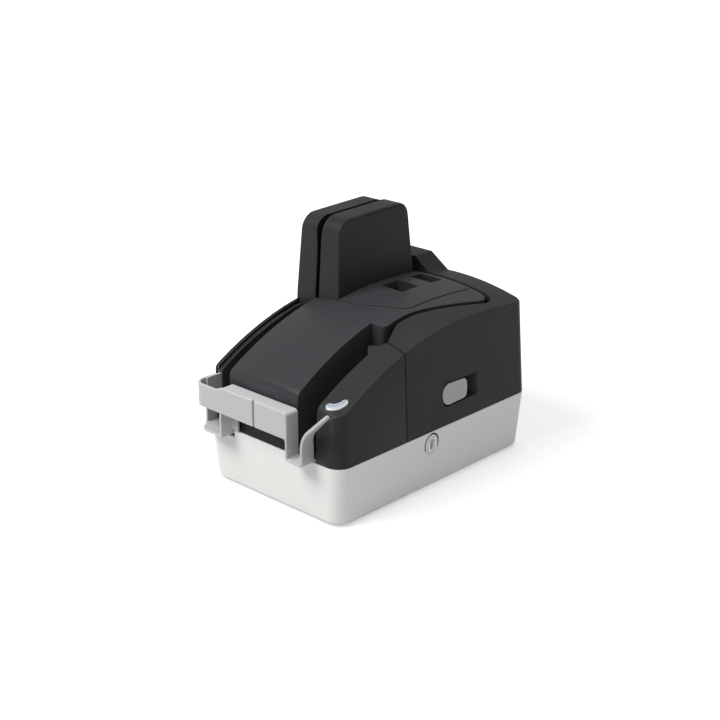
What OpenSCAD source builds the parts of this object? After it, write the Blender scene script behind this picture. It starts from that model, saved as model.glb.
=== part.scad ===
// Compact cheque scanner with an upright U-shaped paper path.
// Sheets stand on edge, enter at the front right, turn round the rear and leave at the front left.
// X runs across the machine from its middle, Y runs back from the front face, Z runs up from the tray.

/* [Body] */
// Width of the body where the tray meets the covers
body_w = 140; // [134:1:156]
// Depth of the body where the tray meets the covers
body_d = 211; // [206:1:225]
// Height of the tray's rim above its underside
rim_z = 45.5; // [42:0.5:52]
// Radius of the body's front corners
front_corner_r = 12; // [9:0.5:14]
// Radius of the body's rear corners
rear_corner_r = 9; // [7:0.5:12]
// How far the tray draws in from its rim down to its underside
tray_draft = 3; // [1:0.25:4]
// Lean of the cover sides from upright, in degrees
cover_lean = 2.6; // [1:0.2:3.2]
// Wall of the mouldings
wall = 2.5; // [2:0.1:3]
// Visible seam between the tray and the covers
seam = 0.4; // [0.3:0.05:0.8]
// Clearance between pieces that seat beside each other
fit_gap = 0.3; // [0.2:0.05:0.45]
// Running clearance of a pin or shaft in its bore, on the radius
run_gap = 0.08; // [0.05:0.01:0.12]

/* [Crowned top] */
// Height of the crown's highest line above the tray's underside
crown_z = 132.5; // [130:0.5:136]
// Distance of the highest line behind the front face
crown_y = 140; // [132:1:150]
// Radius of the crown from side to side
crown_r = 240; // [220:5:320]
// Radius of the long slope in front of the highest line
slope_r = 258; // [245:1:290]
// Radius of the slope behind the highest line
tail_r = 562; // [400:5:800]
// Radius of the edge between the long slope and the front face
front_edge_r = 8; // [5:0.5:10]

/* [Paper path] */
// Height of the path's floor above the tray's underside
floor_z = 44.5; // [43:0.25:45]
// Width of the slot along the right side and the rear
slot_w = 3.6; // [3.2:0.1:4.2]
// Width of the slot between the two upright halves
wing_slot_w = 2.4; // [2:0.1:3]
// Distance from the right side to the feed channel's outer wall
feed_side_w = 23; // [22:0.5:25]
// Width of the feed channel at its floor
feed_channel_w = 16; // [15:0.5:18]
// Distance from the left side to the island's wall at the exit
exit_side_w = 24; // [23:0.5:24.5]
// Distance from the rear face to the inner wall of the rear slot
rear_side_d = 28.8; // [27:0.2:31]

/* [Upright halves] */
// Height of the upright halves above the tray's underside
wing_z = 188.5; // [184:0.5:196]
// Distance from the front face to the upright halves
wing_front_y = 94; // [92:0.5:96]
// How far the upright halves stop in front of the rear slot
wing_back_gap = 3.2; // [2.6:0.2:6]
// Thickness of the inner upright half
inner_wing_w = 21.6; // [20:0.2:22]
// Radius of the front top corner
wing_front_r = 13; // [9:0.5:16]
// Radius of the rear top corner
wing_rear_r = 11; // [6:0.5:14]
// Lean of the rear edge, in degrees
wing_rear_lean = 5; // [3:0.5:7]

/* [Jam cover] */
// Distance from the front face to the seam in the right side
cover_seam_y = 70.5; // [69:0.5:72]
// Radius of the barrel that the cover turns on
barrel_r = 9.5; // [8.5:0.25:10]
// Diameter of the hinge pin
hinge_pin_d = 4; // [3:0.25:5]
// Height of the raised rear corner above the tray's underside
hump_z = 140.5; // [137:0.5:144]
// Flat length of the raised corner's top, from the left side
hump_l = 43; // [40:0.5:46]

/* [Latch] */
// Width of the latch paddle along the side
paddle_w = 27.6; // [24:0.2:29]
// Height of the latch paddle
paddle_h = 17.6; // [15:0.2:20]
// Distance from the front face to the paddle's front edge
paddle_y = 110.4; // [108:0.2:113]
// Height of the paddle's middle
paddle_z = 69.2; // [67:0.2:72]
// Width of the finger recess behind the paddle
recess_w = 10; // [8:0.5:12]
// Diameter of the latch pin
latch_pin_d = 2; // [1.5:0.1:2.4]

/* [Front guides] */
// How far the front guide stands in front of the front face
guide_reach = 12.5; // [11:0.5:14]
// Height of the guide bar's top
bar_top_z = 82.5; // [80:0.25:83.5]
// Height of the guide bar's underside
bar_low_z = 62; // [60:0.5:66]
// Distance of the split between the pocket and the bar left of the middle
pocket_split_x = 4; // [1:0.5:8]
// Sheet thickness of the guides
guide_t = 2; // [1.8:0.1:2.4]
// Outer radius of the pocket's corner
pocket_r = 10; // [8:0.5:11]
// Radius of the feed lip's bend
lip_r = 22; // [18:0.5:26]
// Lean of the feed lip above its bend, in degrees from upright
lip_lean = 47; // [42:1:50]
// Height of the feed lip's tip above the path's floor
lip_h = 46; // [40:0.5:47.5]

/* [Lift-off lid] */
// Distance from the front face to the lid's front point
lid_front_y = 94; // [93:0.5:96]
// Distance from the lid's right edge to the slot
lid_side_w = 3.8; // [2.8:0.2:7]
// How far the lid stands above the cover round it
lid_proud = 0.4; // [0.1:0.1:0.8]
// Width of the seam round the lid
lid_gap = 0.6; // [0.4:0.1:0.9]
// Depth of the two finger pockets
grip_depth = 11; // [8:0.5:13]
// Width of the finger pockets across the machine
grip_w = 22.4; // [20:0.2:24]
// Length of the finger pockets front to back
grip_l = 19; // [17:0.5:20]

/* [Rollers] */
// Radius of the driven rollers
drive_roller_r = 8; // [7:0.25:8.5]
// Radius of the pinch rollers
pinch_roller_r = 5; // [4.5:0.1:5.2]
// Diameter of the roller shafts
shaft_d = 4; // [3:0.25:5]
// How far a driven roller stands out of its wall
roller_proud = 0.8; // [0.5:0.1:1]
// Gap left between a driven roller and its pinch roller
nip = 0.3; // [0.2:0.05:0.4]

/* [Feet] */
// Height of the rubber feet
foot_h = 1.5; // [1:0.25:3]
// Diameter of the rubber feet
foot_d = 14; // [10:0.5:18]

/* [Hidden] */

charcoal = "#2e2e30";
tray_white = "#e4e4e2";
guide_grey = "#c2c4c6";
latch_grey = "#a2a29e";
steel = "#b9bcc0";
rubber = "#1c1c1c";
eps = 0.01;
far = 90;
side_lean = tan(cover_lean);
smooth = 48;
hull_smooth = 32;

// Walls of the paper path, from the sides and the rear
feed_wall_x = body_w / 2 - feed_side_w;
island_right_x = feed_wall_x - feed_channel_w;
island_left_x = body_w / 2 - exit_side_w;
rear_run_y = body_d - rear_side_d;
wing_back_y = rear_run_y - wing_back_gap;
hump_top_x = body_w / 2 - hump_l;

// Whole box, for the origin under its middle
lip_start_z = floor_z + 13.5;
lip_inner_x = feed_wall_x - 3.2;
lip_t = guide_t + 0.6;
lip_mid_x = lip_inner_x + lip_t / 2;
lip_run = (floor_z + lip_h - lip_start_z - lip_r * sin(lip_lean)) / cos(lip_lean);
lip_tip_x = lip_mid_x + lip_r * (1 - cos(lip_lean)) + lip_run * sin(lip_lean);
box_right = max(body_w / 2, lip_tip_x + lip_t / 2);
box_left = body_w / 2;
origin_x = (box_right - box_left) / 2;
origin_y = (body_d - guide_reach) / 2;

// Lean of the sides, as a shift inward at a height
function shift_at(z) = z < rim_z ? tray_draft * (rim_z - z) / rim_z : (z - rim_z) * side_lean;
// Height of the crown's middle line at a distance behind the front face
function arc_drop(r, d) = r - sqrt(r * r - d * d);
function crown_line(y) = crown_z - arc_drop(y < crown_y ? slope_r : tail_r, y - crown_y);
// Height of the crowned surface at a place
function crown_at(x, y) = crown_line(y) - arc_drop(crown_r, x);

// Outlines whose corners are rounded: points with one radius each
function unit(v) = v / norm(v);
function turn(a) = a > 180 ? a - 360 : a < -180 ? a + 360 : a;
function corner_arc(a, b, c, r, n) =
  r <= 0 ? [b] :
  let (
    u = unit(a - b),
    w = unit(c - b),
    half = acos(u * w) / 2,
    t = r / tan(half),
    m = b + unit(u + w) * r / sin(half),
    s = b + u * t - m,
    e = b + w * t - m,
    a0 = atan2(s.y, s.x),
    da = turn(atan2(e.y, e.x) - a0)
  )
  [for (i = [0 : n]) m + r * [cos(a0 + da * i / n), sin(a0 + da * i / n)]];
function rounded(p, r, n = 7) =
  [for (i = [0 : len(p) - 1])
    each corner_arc(p[(i + len(p) - 1) % len(p)], p[i], p[(i + 1) % len(p)], r[i], n)];

// Plan of the paper path
wing_slot_in_x = 26.4 - body_w / 2;
wing_slot_out_x = wing_slot_in_x - wing_slot_w;
step_y = 80.5;
lean_right = 4.3;
slot_in_x = feed_wall_x - 10.2;
knee_y = 108;
slot_slant = 0.27;
rear_in_x = slot_in_x + slot_slant * (rear_run_y - knee_y);
rear_out_y = rear_run_y + slot_w + 0.2;
slot_out_x = slot_in_x + slot_w;
rear_out_x = slot_out_x + slot_slant * (rear_out_y - knee_y + 1);
turn_in_r = 10.4;
island_outline = rounded(
  [[-island_left_x, 0], [island_right_x, 0], [island_right_x - 1, step_y], [slot_in_x, step_y + 0.8],
   [slot_in_x, knee_y], [rear_in_x, rear_run_y], [wing_slot_in_x, rear_run_y],
   [wing_slot_in_x, wing_front_y], [-island_left_x, wing_front_y]],
  [8, 5, 1, 5, 60, turn_in_r, turn_in_r, 0, 0]);
guide_line = rounded(
  [[far, cover_seam_y], [feed_wall_x + 2.5, cover_seam_y], [slot_out_x, cover_seam_y + 20],
   [slot_out_x, knee_y - 1], [rear_out_x, rear_out_y], [wing_slot_out_x, rear_out_y],
   [wing_slot_out_x, -20], [far, -20]],
  [0, 0, 8, 60, turn_in_r + slot_w, turn_in_r + wing_slot_w, 0, 0]);

outer_front_y = wing_front_y - 0.8;
outer_back_y = wing_back_y - 2;
jam_front_y = outer_back_y + seam;

// Hinge of the jam cover
hinge_x = -(body_w / 2 - barrel_r);
hinge_y = body_d - 18;
hinge_high_z = rim_z + 66;
knuckle_low_z = rim_z + 34;
knuckle_high_z = rim_z + 44;
barrel_gap = 0.6;

// Latch
latch_x = body_w / 2 - shift_at(paddle_z) - 3;
latch_y = paddle_y + 3.4;
paddle_t = 2.6;
catch_at = [latch_x - 4, cover_seam_y + 9];
open_dir = unit([hinge_y - catch_at.y, catch_at.x - hinge_x]);
paddle_gap = 1;

// Lid outline over the print bay
lid_left_x = wing_slot_in_x + inner_wing_w + fit_gap;
lid_right_x = slot_in_x - lid_side_w;
lid_outline = [
  [lid_left_x, lid_front_y], [lid_left_x + 20.7, lid_front_y], [lid_right_x - 3, lid_front_y + 15],
  [lid_right_x, lid_front_y + 21], [lid_right_x + 1.4, rear_run_y - wall],
  [lid_left_x, rear_run_y - wall]];
grip_x = lid_left_x + 9.4;
grip_front_y = rear_run_y - 52.2;
grip_pitch = 32.5;
rear_grip_l = 13.6;

// Roller places, from the walls that they stand out of
tyre_h = 13;
tyre_low_z = floor_z + 13;
tyre_high_z = floor_z + 37;
slant_a = atan(slot_slant);
slant_n = [cos(slant_a), -sin(slant_a)];
micr_y = knee_y + 5.5;
turn_y = micr_y + (rear_run_y - micr_y) * 0.3275;
turn_wall = [slot_in_x + slot_slant * (turn_y - knee_y), turn_y];
pick_at = [island_right_x - tan(lean_right) * (tyre_low_z + tyre_h / 2 - floor_z) + roller_proud
  - drive_roller_r, 52];
feed_at = [slot_in_x + roller_proud - drive_roller_r, step_y + 14];
turn_at = turn_wall - slant_n * (drive_roller_r - roller_proud);
print_x = lid_left_x + 15.7;
rear_at = [print_x + 20, rear_run_y - drive_roller_r + roller_proud];
exit_at = [wing_slot_in_x + drive_roller_r - roller_proud, wing_front_y + 12];
nip_reach = roller_proud + nip + pinch_roller_r;
retard_at = [slot_in_x + nip_reach, feed_at.y];
turn_pinch_at = turn_wall + slant_n * nip_reach;
rear_pinch_at = [rear_at.x, rear_run_y + nip_reach];
exit_pinch_r = 4;
exit_pinch_at = [wing_slot_in_x - roller_proud - nip - exit_pinch_r, exit_at.y];
motor_at = [lid_left_x + 5.7, 70];
drive_at = [pick_at, feed_at, turn_at, rear_at, exit_at];
deck_low_z = floor_z - 2.6;
boss_h = 4;
belt_h = 5;
belt_z = deck_low_z - boss_h - 1.4 - belt_h;
shaft_low_z = belt_z - 2;
motor_h = 27;
plate_z = floor_z + 57;
plate_t = 1.5;
post_r = 2.6;
post_places = [[lid_left_x + 6.7, wing_front_y + 2.5], [turn_at.x - 15.4, knee_y + 6], rear_at + [16, -5]];
pick_post = pick_at - [20, 1];
pick_arm_z = tyre_low_z + tyre_h + 3;
pulley_r = 5;
belt_t = 1;

// Covers reach down inside the tray's walls to just above the path's floor
module above_tray() {
  block(-far, far, -5, body_d + 20, rim_z + seam, 220);
  block(-body_w / 2 + 6, body_w / 2 - 6, wall + fit_gap, body_d - 8, floor_z + 0.2, rim_z + 1);
}

// Every piece is drawn in the machine's own axes and set down once
module place() {
  translate([-origin_x, -origin_y, foot_h]) children();
}

// The body's outline at a height, as thin discs for a hull
module corner_discs(z, inset, extra = 0) {
  s = shift_at(z) + extra;
  rf = front_corner_r - inset;
  rr = rear_corner_r - inset;
  for (side = [-1, 1]) {
    translate([side * (body_w / 2 - front_corner_r - s), front_corner_r + s, z])
      cylinder(r = rf, h = eps, $fn = hull_smooth);
    translate([side * (body_w / 2 - rear_corner_r - s), body_d - rear_corner_r - s, z])
      cylinder(r = rr, h = eps, $fn = hull_smooth);
  }
}

// The space above the rim, leaning inward, less an inset all round
module leaning_block(inset = 0) {
  hull() {
    corner_discs(rim_z, inset);
    corner_discs(rim_z + 150, inset);
  }
}

// The crown, turned about an axis that runs front to back, with a rounded front edge
edge_y = shift_at(crown_line(0));
slope_a = asin((crown_y - edge_y) / slope_r);
face_n = [-cos(cover_lean), sin(cover_lean)];
slope_n = [-sin(slope_a), cos(slope_a)];
edge_mid = [edge_y, crown_line(edge_y)] - front_edge_r * (face_n + slope_n) / (1 + face_n * slope_n);
crown_back_y = body_d + 23;
module crown(inset = 0) {
  low = 90;
  r = front_edge_r - inset;
  edge = [for (i = [0 : 6]) let (a = 180 - cover_lean - (90 - cover_lean - slope_a) * i / 6)
    edge_mid + r * [cos(a), sin(a)]];
  y0 = edge_mid.x - front_edge_r * sin(slope_a) + max(inset, 0) + 1;
  slope = [for (i = [0 : 25]) let (y = y0 + (crown_back_y - y0) * i / 25) [y, crown_line(y) - inset]];
  foot = [edge[0].x - (edge[0].y - crown_z + low) * side_lean - 1, crown_z - low];
  profile = concat([[crown_back_y, crown_z - low], foot], edge, slope);
  translate([0, 0, crown_z - crown_r]) rotate([-90, 0, 0]) rotate_extrude($fn = 96)
    polygon([for (p = profile) [p.y - crown_z + crown_r, p.x]]);
}

// Solid under the leaning sides and the crown
module skin_solid(inset = 0) {
  intersection() {
    leaning_block(inset);
    union() {
      crown(inset);
      translate([-far, -20, 0]) cube([2 * far, body_d + 40, rim_z + 14]);
    }
  }
}

// An upright prism over a plan outline
module prism(outline, z0, z1) {
  translate([0, 0, z0]) linear_extrude(z1 - z0) polygon(outline);
}

// An upright prism over an outline drawn in by a distance
module inner_prism(outline, by, z0, z1) {
  translate([0, 0, z0]) linear_extrude(z1 - z0) offset(delta = -by) polygon(outline);
}

module cyl(at, r, z0, z1) {
  translate([at.x, at.y, z0]) cylinder(r = r, h = z1 - z0, $fn = smooth);
}

module block(x0, x1, y0, y1, z0, z1) {
  translate([x0, y0, z0]) cube([x1 - x0, y1 - y0, z1 - z0]);
}

// Profile in Y and Z, drawn through the machine from x0 to x1
module side_prism(outline, x0, x1) {
  translate([x0, 0, 0]) rotate([90, 0, 90]) linear_extrude(x1 - x0) polygon(outline);
}

// Profile in X and Z, drawn from y0 back to y1
module front_prism(outline, y0, y1) {
  translate([0, y1, 0]) rotate([90, 0, 0]) linear_extrude(y1 - y0) polygon(outline);
}

// Lower tray
foot_inset = 20;
board_z = 9;
port_z = board_z + 9;
inlet_x = 26 - body_w / 2;
usb_x = inlet_x + 26;
rocker_x = usb_x + 34;
lock_y = 98.7;
lock_z = 35.5;
module tray_block(inset, z0) {
  round_up = 1.6;
  hull() {
    corner_discs(z0, inset, round_up);
    corner_discs(z0 + round_up, inset);
    corner_discs(rim_z - eps, inset);
  }
}
module exit_notch() {
  block(-body_w / 2 - 5, pocket_plate_x + guide_t + fit_gap, -5, 9, floor_z - 5, rim_z + 1);
}
module base_tray() {
  color(tray_white) difference() {
    tray_block(0, 0);
    tray_block(wall, wall);
    translate([0, 0, rim_z - 1]) hull() {
      corner_discs(0.5, wall);
      corner_discs(3, wall);
    }
    exit_notch();
    for (at = foot_places()) cyl(at, foot_d / 2 + 0.2, -1, 0.8);
    for (at = screw_places()) {
      cyl(at, 1.7, -1, wall + 1);
      cyl(at, 3.6, -1, 1.4);
    }
    translate([inlet_x, body_d + 5, port_z]) rotate([90, 0, 0]) cylinder(d = 9.2, h = 20, $fn = smooth);
    block(usb_x - 6.3, usb_x + 6.3, body_d - 15, body_d + 5, port_z - 5.8, port_z + 5.8);
    block(rocker_x - 11.3, rocker_x + 11.3, body_d - 15, body_d + 5, port_z - 7.3, port_z + 7.3);
    lock_slot();
  }
  color(tray_white) for (at = screw_places()) difference() {
    cyl(at, 4.2, wall - eps, deck_low_z - fit_gap);
    cyl(at, 1.3, wall - 1, deck_low_z + 1);
  }
  // Thicker wall behind the security slot
  color(tray_white) difference() {
    block(body_w / 2 - 8, body_w / 2 - 2.4, lock_y - 8, lock_y + 8, lock_z - 9, deck_low_z - fit_gap);
    lock_slot();
  }
}
// Ring groove and security slot in the right side of the tray
module lock_slot() {
  x0 = body_w / 2 - tray_draft * (rim_z - lock_z) / rim_z;
  translate([x0, lock_y, lock_z]) rotate([90, 0, 90]) {
    translate([0, 0, -0.8]) linear_extrude(5) difference() {
      resize([15.6, 17.2]) circle(d = 14, $fn = smooth);
      resize([13.2, 14.8]) circle(d = 14, $fn = smooth);
    }
    translate([0, 0, -10]) linear_extrude(14) slot_2d(3.4, 9);
  }
}
module slot_2d(w, l) {
  square([w, l - w], center = true);
  for (s = [-1, 1]) translate([0, s * (l - w) / 2]) circle(d = w, $fn = 32);
}
function foot_places() =
  [for (x = [-1, 1], y = [0, 1]) [x * (body_w / 2 - foot_inset), y == 0 ? foot_inset : body_d - foot_inset]];
function screw_places() =
  [for (x = [-1, 1], y = [0, 1]) [x * (body_w / 2 - 11), y == 0 ? 38 : body_d - 38]];
module rubber_feet() {
  color(rubber) for (at = foot_places()) {
    cyl(at, foot_d / 2, 0, 0.8);
    translate([at.x, at.y, -foot_h])
      cylinder(r1 = foot_d / 2 - 0.8, r2 = foot_d / 2, h = foot_h, $fn = smooth);
  }
}
module base_screws() {
  color(steel) for (at = screw_places()) difference() {
    union() {
      cyl(at, 3, 0.2, 1.4);
      cyl(at, 1.2, 1.3, 12);
    }
    for (a = [0, 90]) translate([at.x, at.y, 0]) rotate(a) cube([3.4, 0.7, 1.6], center = true);
  }
}
module main_board() {
  z = board_z;
  half_w = body_w / 2 - 18;
  color("#2f6b3c") {
    block(-half_w, half_w, 60, body_d - 8, z, z + 1.6);
    for (x = [-1, 1]) cyl([x * (half_w - 4), 64], 3, wall, z);
  }
  color("#202224") {
    block(14, 32, 120, 138, z + 1.6, z + 3.2);
    block(-34, -18, 128, 140, z + 1.6, z + 3);
    block(-46, -38, 80, 112, z + 1.6, z + 8);
    block(36, 42, 84, 118, z + 1.6, z + 8);
  }
  color(steel) for (x = [-8, 2]) cyl([x, 166], 4, z + 1.6, z + 13);
}
module power_inlet() {
  color("#202022") translate([inlet_x, body_d - shift_at(port_z) - 0.3, port_z]) rotate([90, 0, 0]) {
    difference() {
      cylinder(d = 8.8, h = 12, $fn = smooth);
      translate([0, 0, -1]) cylinder(d = 5.6, h = 10, $fn = smooth);
    }
    translate([0, 0, 2]) cylinder(d = 2, h = 9, $fn = smooth);
    translate([-5.5, -5.4, 4]) cube([11, 10.8, 12]);
  }
}
module usb_port() {
  y1 = body_d - shift_at(port_z) - 0.4;
  color(steel) difference() {
    block(usb_x - 6, usb_x + 6, y1 - 16, y1, port_z - 5.4, port_z + 5.4);
    block(usb_x - 4.2, usb_x + 4.2, y1 - 10, y1 + 1, port_z - 3.8, port_z + 3.8);
  }
  color("#e8e8e8") block(usb_x - 2.6, usb_x + 2.6, y1 - 10.5, y1 - 1.5, port_z - 1.6, port_z + 1.6);
}
rocker_tilt = 7;
rocker_y = body_d - tray_draft - 1.5;
module switch_frame() {
  color("#1d1d1f") difference() {
    block(rocker_x - 11, rocker_x + 11, rocker_y - 13, rocker_y + 3.6, port_z - 7, port_z + 7);
    block(rocker_x - 8.4, rocker_x + 8.4, rocker_y - 8, rocker_y + 5, port_z - 5.2, port_z + 5.2);
    translate([rocker_x, rocker_y - 2, port_z - 6.2])
      cylinder(r = 1.2 + run_gap, h = 12.4, $fn = smooth);
  }
}
module power_rocker() {
  color("#242426") {
    translate([rocker_x, rocker_y - 2, port_z - 6])
      cylinder(r = 1.2, h = 12, $fn = smooth);
    translate([rocker_x, rocker_y - 2, port_z - 4.8]) rotate(-rocker_tilt) linear_extrude(9.6)
      polygon([[-7.2, 3.2], [0, 4.4], [7.2, 3.2], [6.6, 0], [2.6, -2.4], [-2.6, -2.4], [-6.6, 0]]);
  }
}

// Path floor and drive
deck_inset = wall + fit_gap;
module path_deck() {
  color("#3a3b3d") difference() {
    union() {
      intersection() {
        hull() {
          corner_discs(deck_low_z, deck_inset);
          corner_discs(floor_z - eps, deck_inset);
        }
        block(-far, far, 0, body_d, 0, floor_z);
      }
      for (at = drive_at) cyl(at, 5, deck_low_z - boss_h, deck_low_z + 1);
      cyl([hinge_x, hinge_y], 5, deck_low_z - 1, rim_z + seam - fit_gap);
    }
    exit_notch();
    for (at = drive_at) cyl(at, 3.2, 0, 60);
    cyl(motor_at, 6.5, 0, 60);
    cyl([hinge_x, hinge_y], hinge_pin_d / 2, 0, 60);
    for (at = screw_places()) cyl(at, 1.7, 0, 60);
  }
}
module drive_motor() {
  color("#8d9094") difference() {
    union() {
      cyl(motor_at, 15, floor_z + 1.8, floor_z + motor_h);
      cyl(motor_at, 6, deck_low_z, floor_z + 2);
    }
    cyl(motor_at, 1.5 + run_gap, 0, floor_z + motor_h + 1);
  }
  color(steel) difference() {
    block(motor_at.x - 22, motor_at.x + 22, motor_at.y - 8, motor_at.y + 8, floor_z, floor_z + 1.8);
    cyl(motor_at, 6, 0, floor_z + 5);
    for (s = [-1, 1]) cyl([motor_at.x + s * 18.5, motor_at.y], 1.6, 0, floor_z + 5);
  }
}
module flanged_pulley(at, bore) {
  for (z = [belt_z - 1, belt_z + belt_h]) cyl(at, pulley_r + 1.4, z, z + 1);
  cyl(at, pulley_r, belt_z - eps, belt_z + belt_h + eps);
}
module motor_pulley() {
  color(steel) cyl(motor_at, 1.5, shaft_low_z, floor_z + motor_h - 1);
  color("#d9d5c4") flanged_pulley(motor_at);
}
module timing_belt() {
  gap = 0.12;
  at = concat(drive_at, [motor_at]);
  color("#262626") translate([0, 0, belt_z + 0.2]) linear_extrude(belt_h - 0.4) difference() {
    hull() for (p = at) translate(p) circle(r = pulley_r + gap + belt_t, $fn = hull_smooth);
    hull() for (p = at) translate(p) circle(r = pulley_r + gap, $fn = hull_smooth);
  }
}
module shaft_bushes() {
  color("#b8963e") for (at = drive_at) difference() {
    cyl(at, 3.2, deck_low_z - boss_h, deck_low_z + 2.4);
    cyl(at, shaft_d / 2 + run_gap, 0, 60);
  }
}
plate_edge_r = 4.2;
module shaft_plate() {
  corners = concat([feed_at, turn_at, rear_at], post_places, [[post_places[0].x, rear_run_y - 48.2]]);
  color(steel) difference() {
    intersection() {
      hull() for (p = corners)
        translate([p.x, p.y, plate_z]) cylinder(r = plate_edge_r, h = plate_t, $fn = hull_smooth);
      inner_prism(island_outline, wall + fit_gap, 0, 200);
    }
    for (at = [feed_at, turn_at, rear_at]) cyl(at, shaft_d / 2 + run_gap, 0, plate_z + 5);
    block(-far, rear_at.x - 5.5, rear_run_y - 45.2, body_d, 0, plate_z + 5);
    block(post_places[0].x + 7, post_places[1].x - 6, post_places[0].y + 6, knee_y + 18, 0, plate_z + 5);
  }
  // Short arm for the upper end of the pick roller
  color(steel) difference() {
    hull() for (p = [pick_at, pick_post])
      translate([p.x, p.y, pick_arm_z]) cylinder(r = 3.2, h = plate_t, $fn = hull_smooth);
    cyl(pick_at, shaft_d / 2 + run_gap, 0, plate_z);
  }
}
module plate_posts() {
  color(steel) for (at = post_places) cyl(at, post_r, floor_z, plate_z);
  color(steel) cyl(pick_post, post_r, floor_z, pick_arm_z);
}
module roller(at, r, z0, z1, tyres, pulley) {
  color(steel) cyl(at, shaft_d / 2, z0, z1);
  color("#3b3b3d") for (z = tyres) cyl(at, r, z, z + tyre_h);
  if (pulley) color("#d9d5c4") flanged_pulley(at);
}
module pick_roller() {
  roller(pick_at, drive_roller_r, shaft_low_z, pick_arm_z + 3, [tyre_low_z], true);
}
module feed_roller() {
  roller(feed_at, drive_roller_r, shaft_low_z, plate_z + 3, [tyre_low_z, tyre_high_z], true);
}
module turn_roller() {
  roller(turn_at, drive_roller_r, shaft_low_z, plate_z + 3, [tyre_low_z, tyre_high_z], true);
}
module rear_roller() {
  roller(rear_at, drive_roller_r, shaft_low_z, plate_z + 3, [tyre_low_z, tyre_high_z], true);
}
module exit_roller() {
  roller(exit_at, drive_roller_r, shaft_low_z, floor_z + 60, [tyre_low_z, tyre_high_z], true);
}
module pinch(at, r, z0, z1) {
  color(steel) cyl(at, 1.5, z0, z1);
  color("#e6e3da") for (z = [tyre_low_z, tyre_high_z]) cyl(at, r, z, z + tyre_h);
}
pinch_low_z = tyre_low_z - 5;
pinch_high_z = tyre_high_z + tyre_h + 5;
module retard_roller() { pinch(retard_at, pinch_roller_r, pinch_low_z, pinch_high_z); }
module turn_pinch_roller() { pinch(turn_pinch_at, pinch_roller_r, pinch_low_z, pinch_high_z); }
module rear_pinch_roller() { pinch(rear_pinch_at, pinch_roller_r, pinch_low_z, pinch_high_z); }
module exit_pinch_roller() { pinch(exit_pinch_at, exit_pinch_r, pinch_low_z, pinch_high_z); }

// Windows that let the tyres of a roller reach the path
module tyre_windows(at, r, clear = 1) {
  for (z = [tyre_low_z, tyre_high_z])
    cyl(at, r + clear, z - clear, z + tyre_h + clear);
}

// Island between the two arms of the path
module island_block(inset) {
  difference() {
    inner_prism(island_outline, inset, 0, 200);
    // The wall of the feed channel leans back to the left
    translate([island_right_x - inset, 0, floor_z]) rotate([0, -lean_right, 0])
      block(0, 30, -10, step_y + inset, -10, 120);
  }
}
module wing_footprint(gap) {
  block(wing_slot_in_x - 5, lid_left_x - fit_gap + gap, wing_front_y - gap, rear_run_y + 5, wing_low_z - gap, 220);
}
wing_low_z = floor_z + 11;
module island_cover() {
  color(charcoal) difference() {
    intersection() {
      island_block(0);
      skin_solid(0);
      above_tray();
    }
    intersection() {
      island_block(wall);
      skin_solid(wall);
      block(-far, far, -5, body_d, floor_z - 5, 200);
    }
    wing_footprint(fit_gap);
    inner_prism(lid_outline, -lid_gap, crown_z - 30, 220);
    cyl(pick_at, drive_roller_r + 1, tyre_low_z - 1, tyre_low_z + tyre_h + 1);
    for (at = [feed_at, turn_at, rear_at]) tyre_windows(at, drive_roller_r);
    cyl(exit_at, drive_roller_r + 1, floor_z - 1, wing_low_z + 1);
    block(slot_in_x - 6, slot_in_x + 4, micr_y - 6, micr_y + 6, micr_z - 8.5, micr_z + 8.5);
    block(print_x - 7, print_x + 7, rear_run_y - 6, rear_run_y + 4, print_z - 8, print_z + 8);
  }
  // Ledge that the lid rests on
  color(charcoal) intersection() {
    union() {
      difference() {
        crown(wall + 0.05);
        crown(wall + 2.2);
        translate([0, 0, -1]) inner_prism(lid_outline, ledge_w, 50, 230);
      }
      difference() {
        crown(wall - 0.6);
        crown(wall + 2.2);
        translate([0, 0, -1]) inner_prism(lid_outline, -lid_gap, 50, 230);
      }
    }
    inner_prism(lid_outline, -lid_gap - 1.5, 60, 220);
    block(lid_left_x + 4, far, 0, rear_run_y - 8, 60, 220);
  }
}
ledge_w = 2.4;

// Lid with two finger pockets
module lid_skin(low, high) {
  intersection() {
    difference() {
      skin_solid(low);
      crown(high);
    }
    prism(lid_outline, 60, 220);
  }
}
module grip_place(i) {
  translate([grip_x, grip_front_y + i * grip_pitch, 0]) children();
}
module cartridge_cover() {
  color(charcoal) difference() {
    union() {
      lid_skin(-lid_proud, wall);
      intersection() {
        skin_solid(-lid_proud);
        prism(lid_outline, 60, 220);
        for (i = [0, 1]) grip_place(i) block(-1.6, grip_w + 1.6, -1.6, (i == 0 ? grip_l : rear_grip_l) + 1.6,
          crown_z - grip_depth - 3.6, 220);
      }
      // Locating skirts inside the opening
      for (y = [lid_front_y + 24, rear_run_y - 22])
        block(lid_right_x - 4.6, lid_right_x - 2.8, y, y + 10, crown_z - 13, crown_z - 5);
    }
    grip_place(0) block(0, grip_w, 0, grip_l, crown_z - grip_depth - 2, 220);
    grip_place(1) block(0, grip_w - 5, 0, rear_grip_l, crown_z - grip_depth - 2, 220);
    // The rear pocket runs out in a ramp to the right
    grip_place(1) front_prism([[grip_w - 6, crown_z - grip_depth - 2], [grip_w - 5, crown_z - grip_depth - 2],
      [grip_w + 1, crown_z + 1], [grip_w - 6, crown_z + 1]], 0, rear_grip_l);
  }
}

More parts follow.
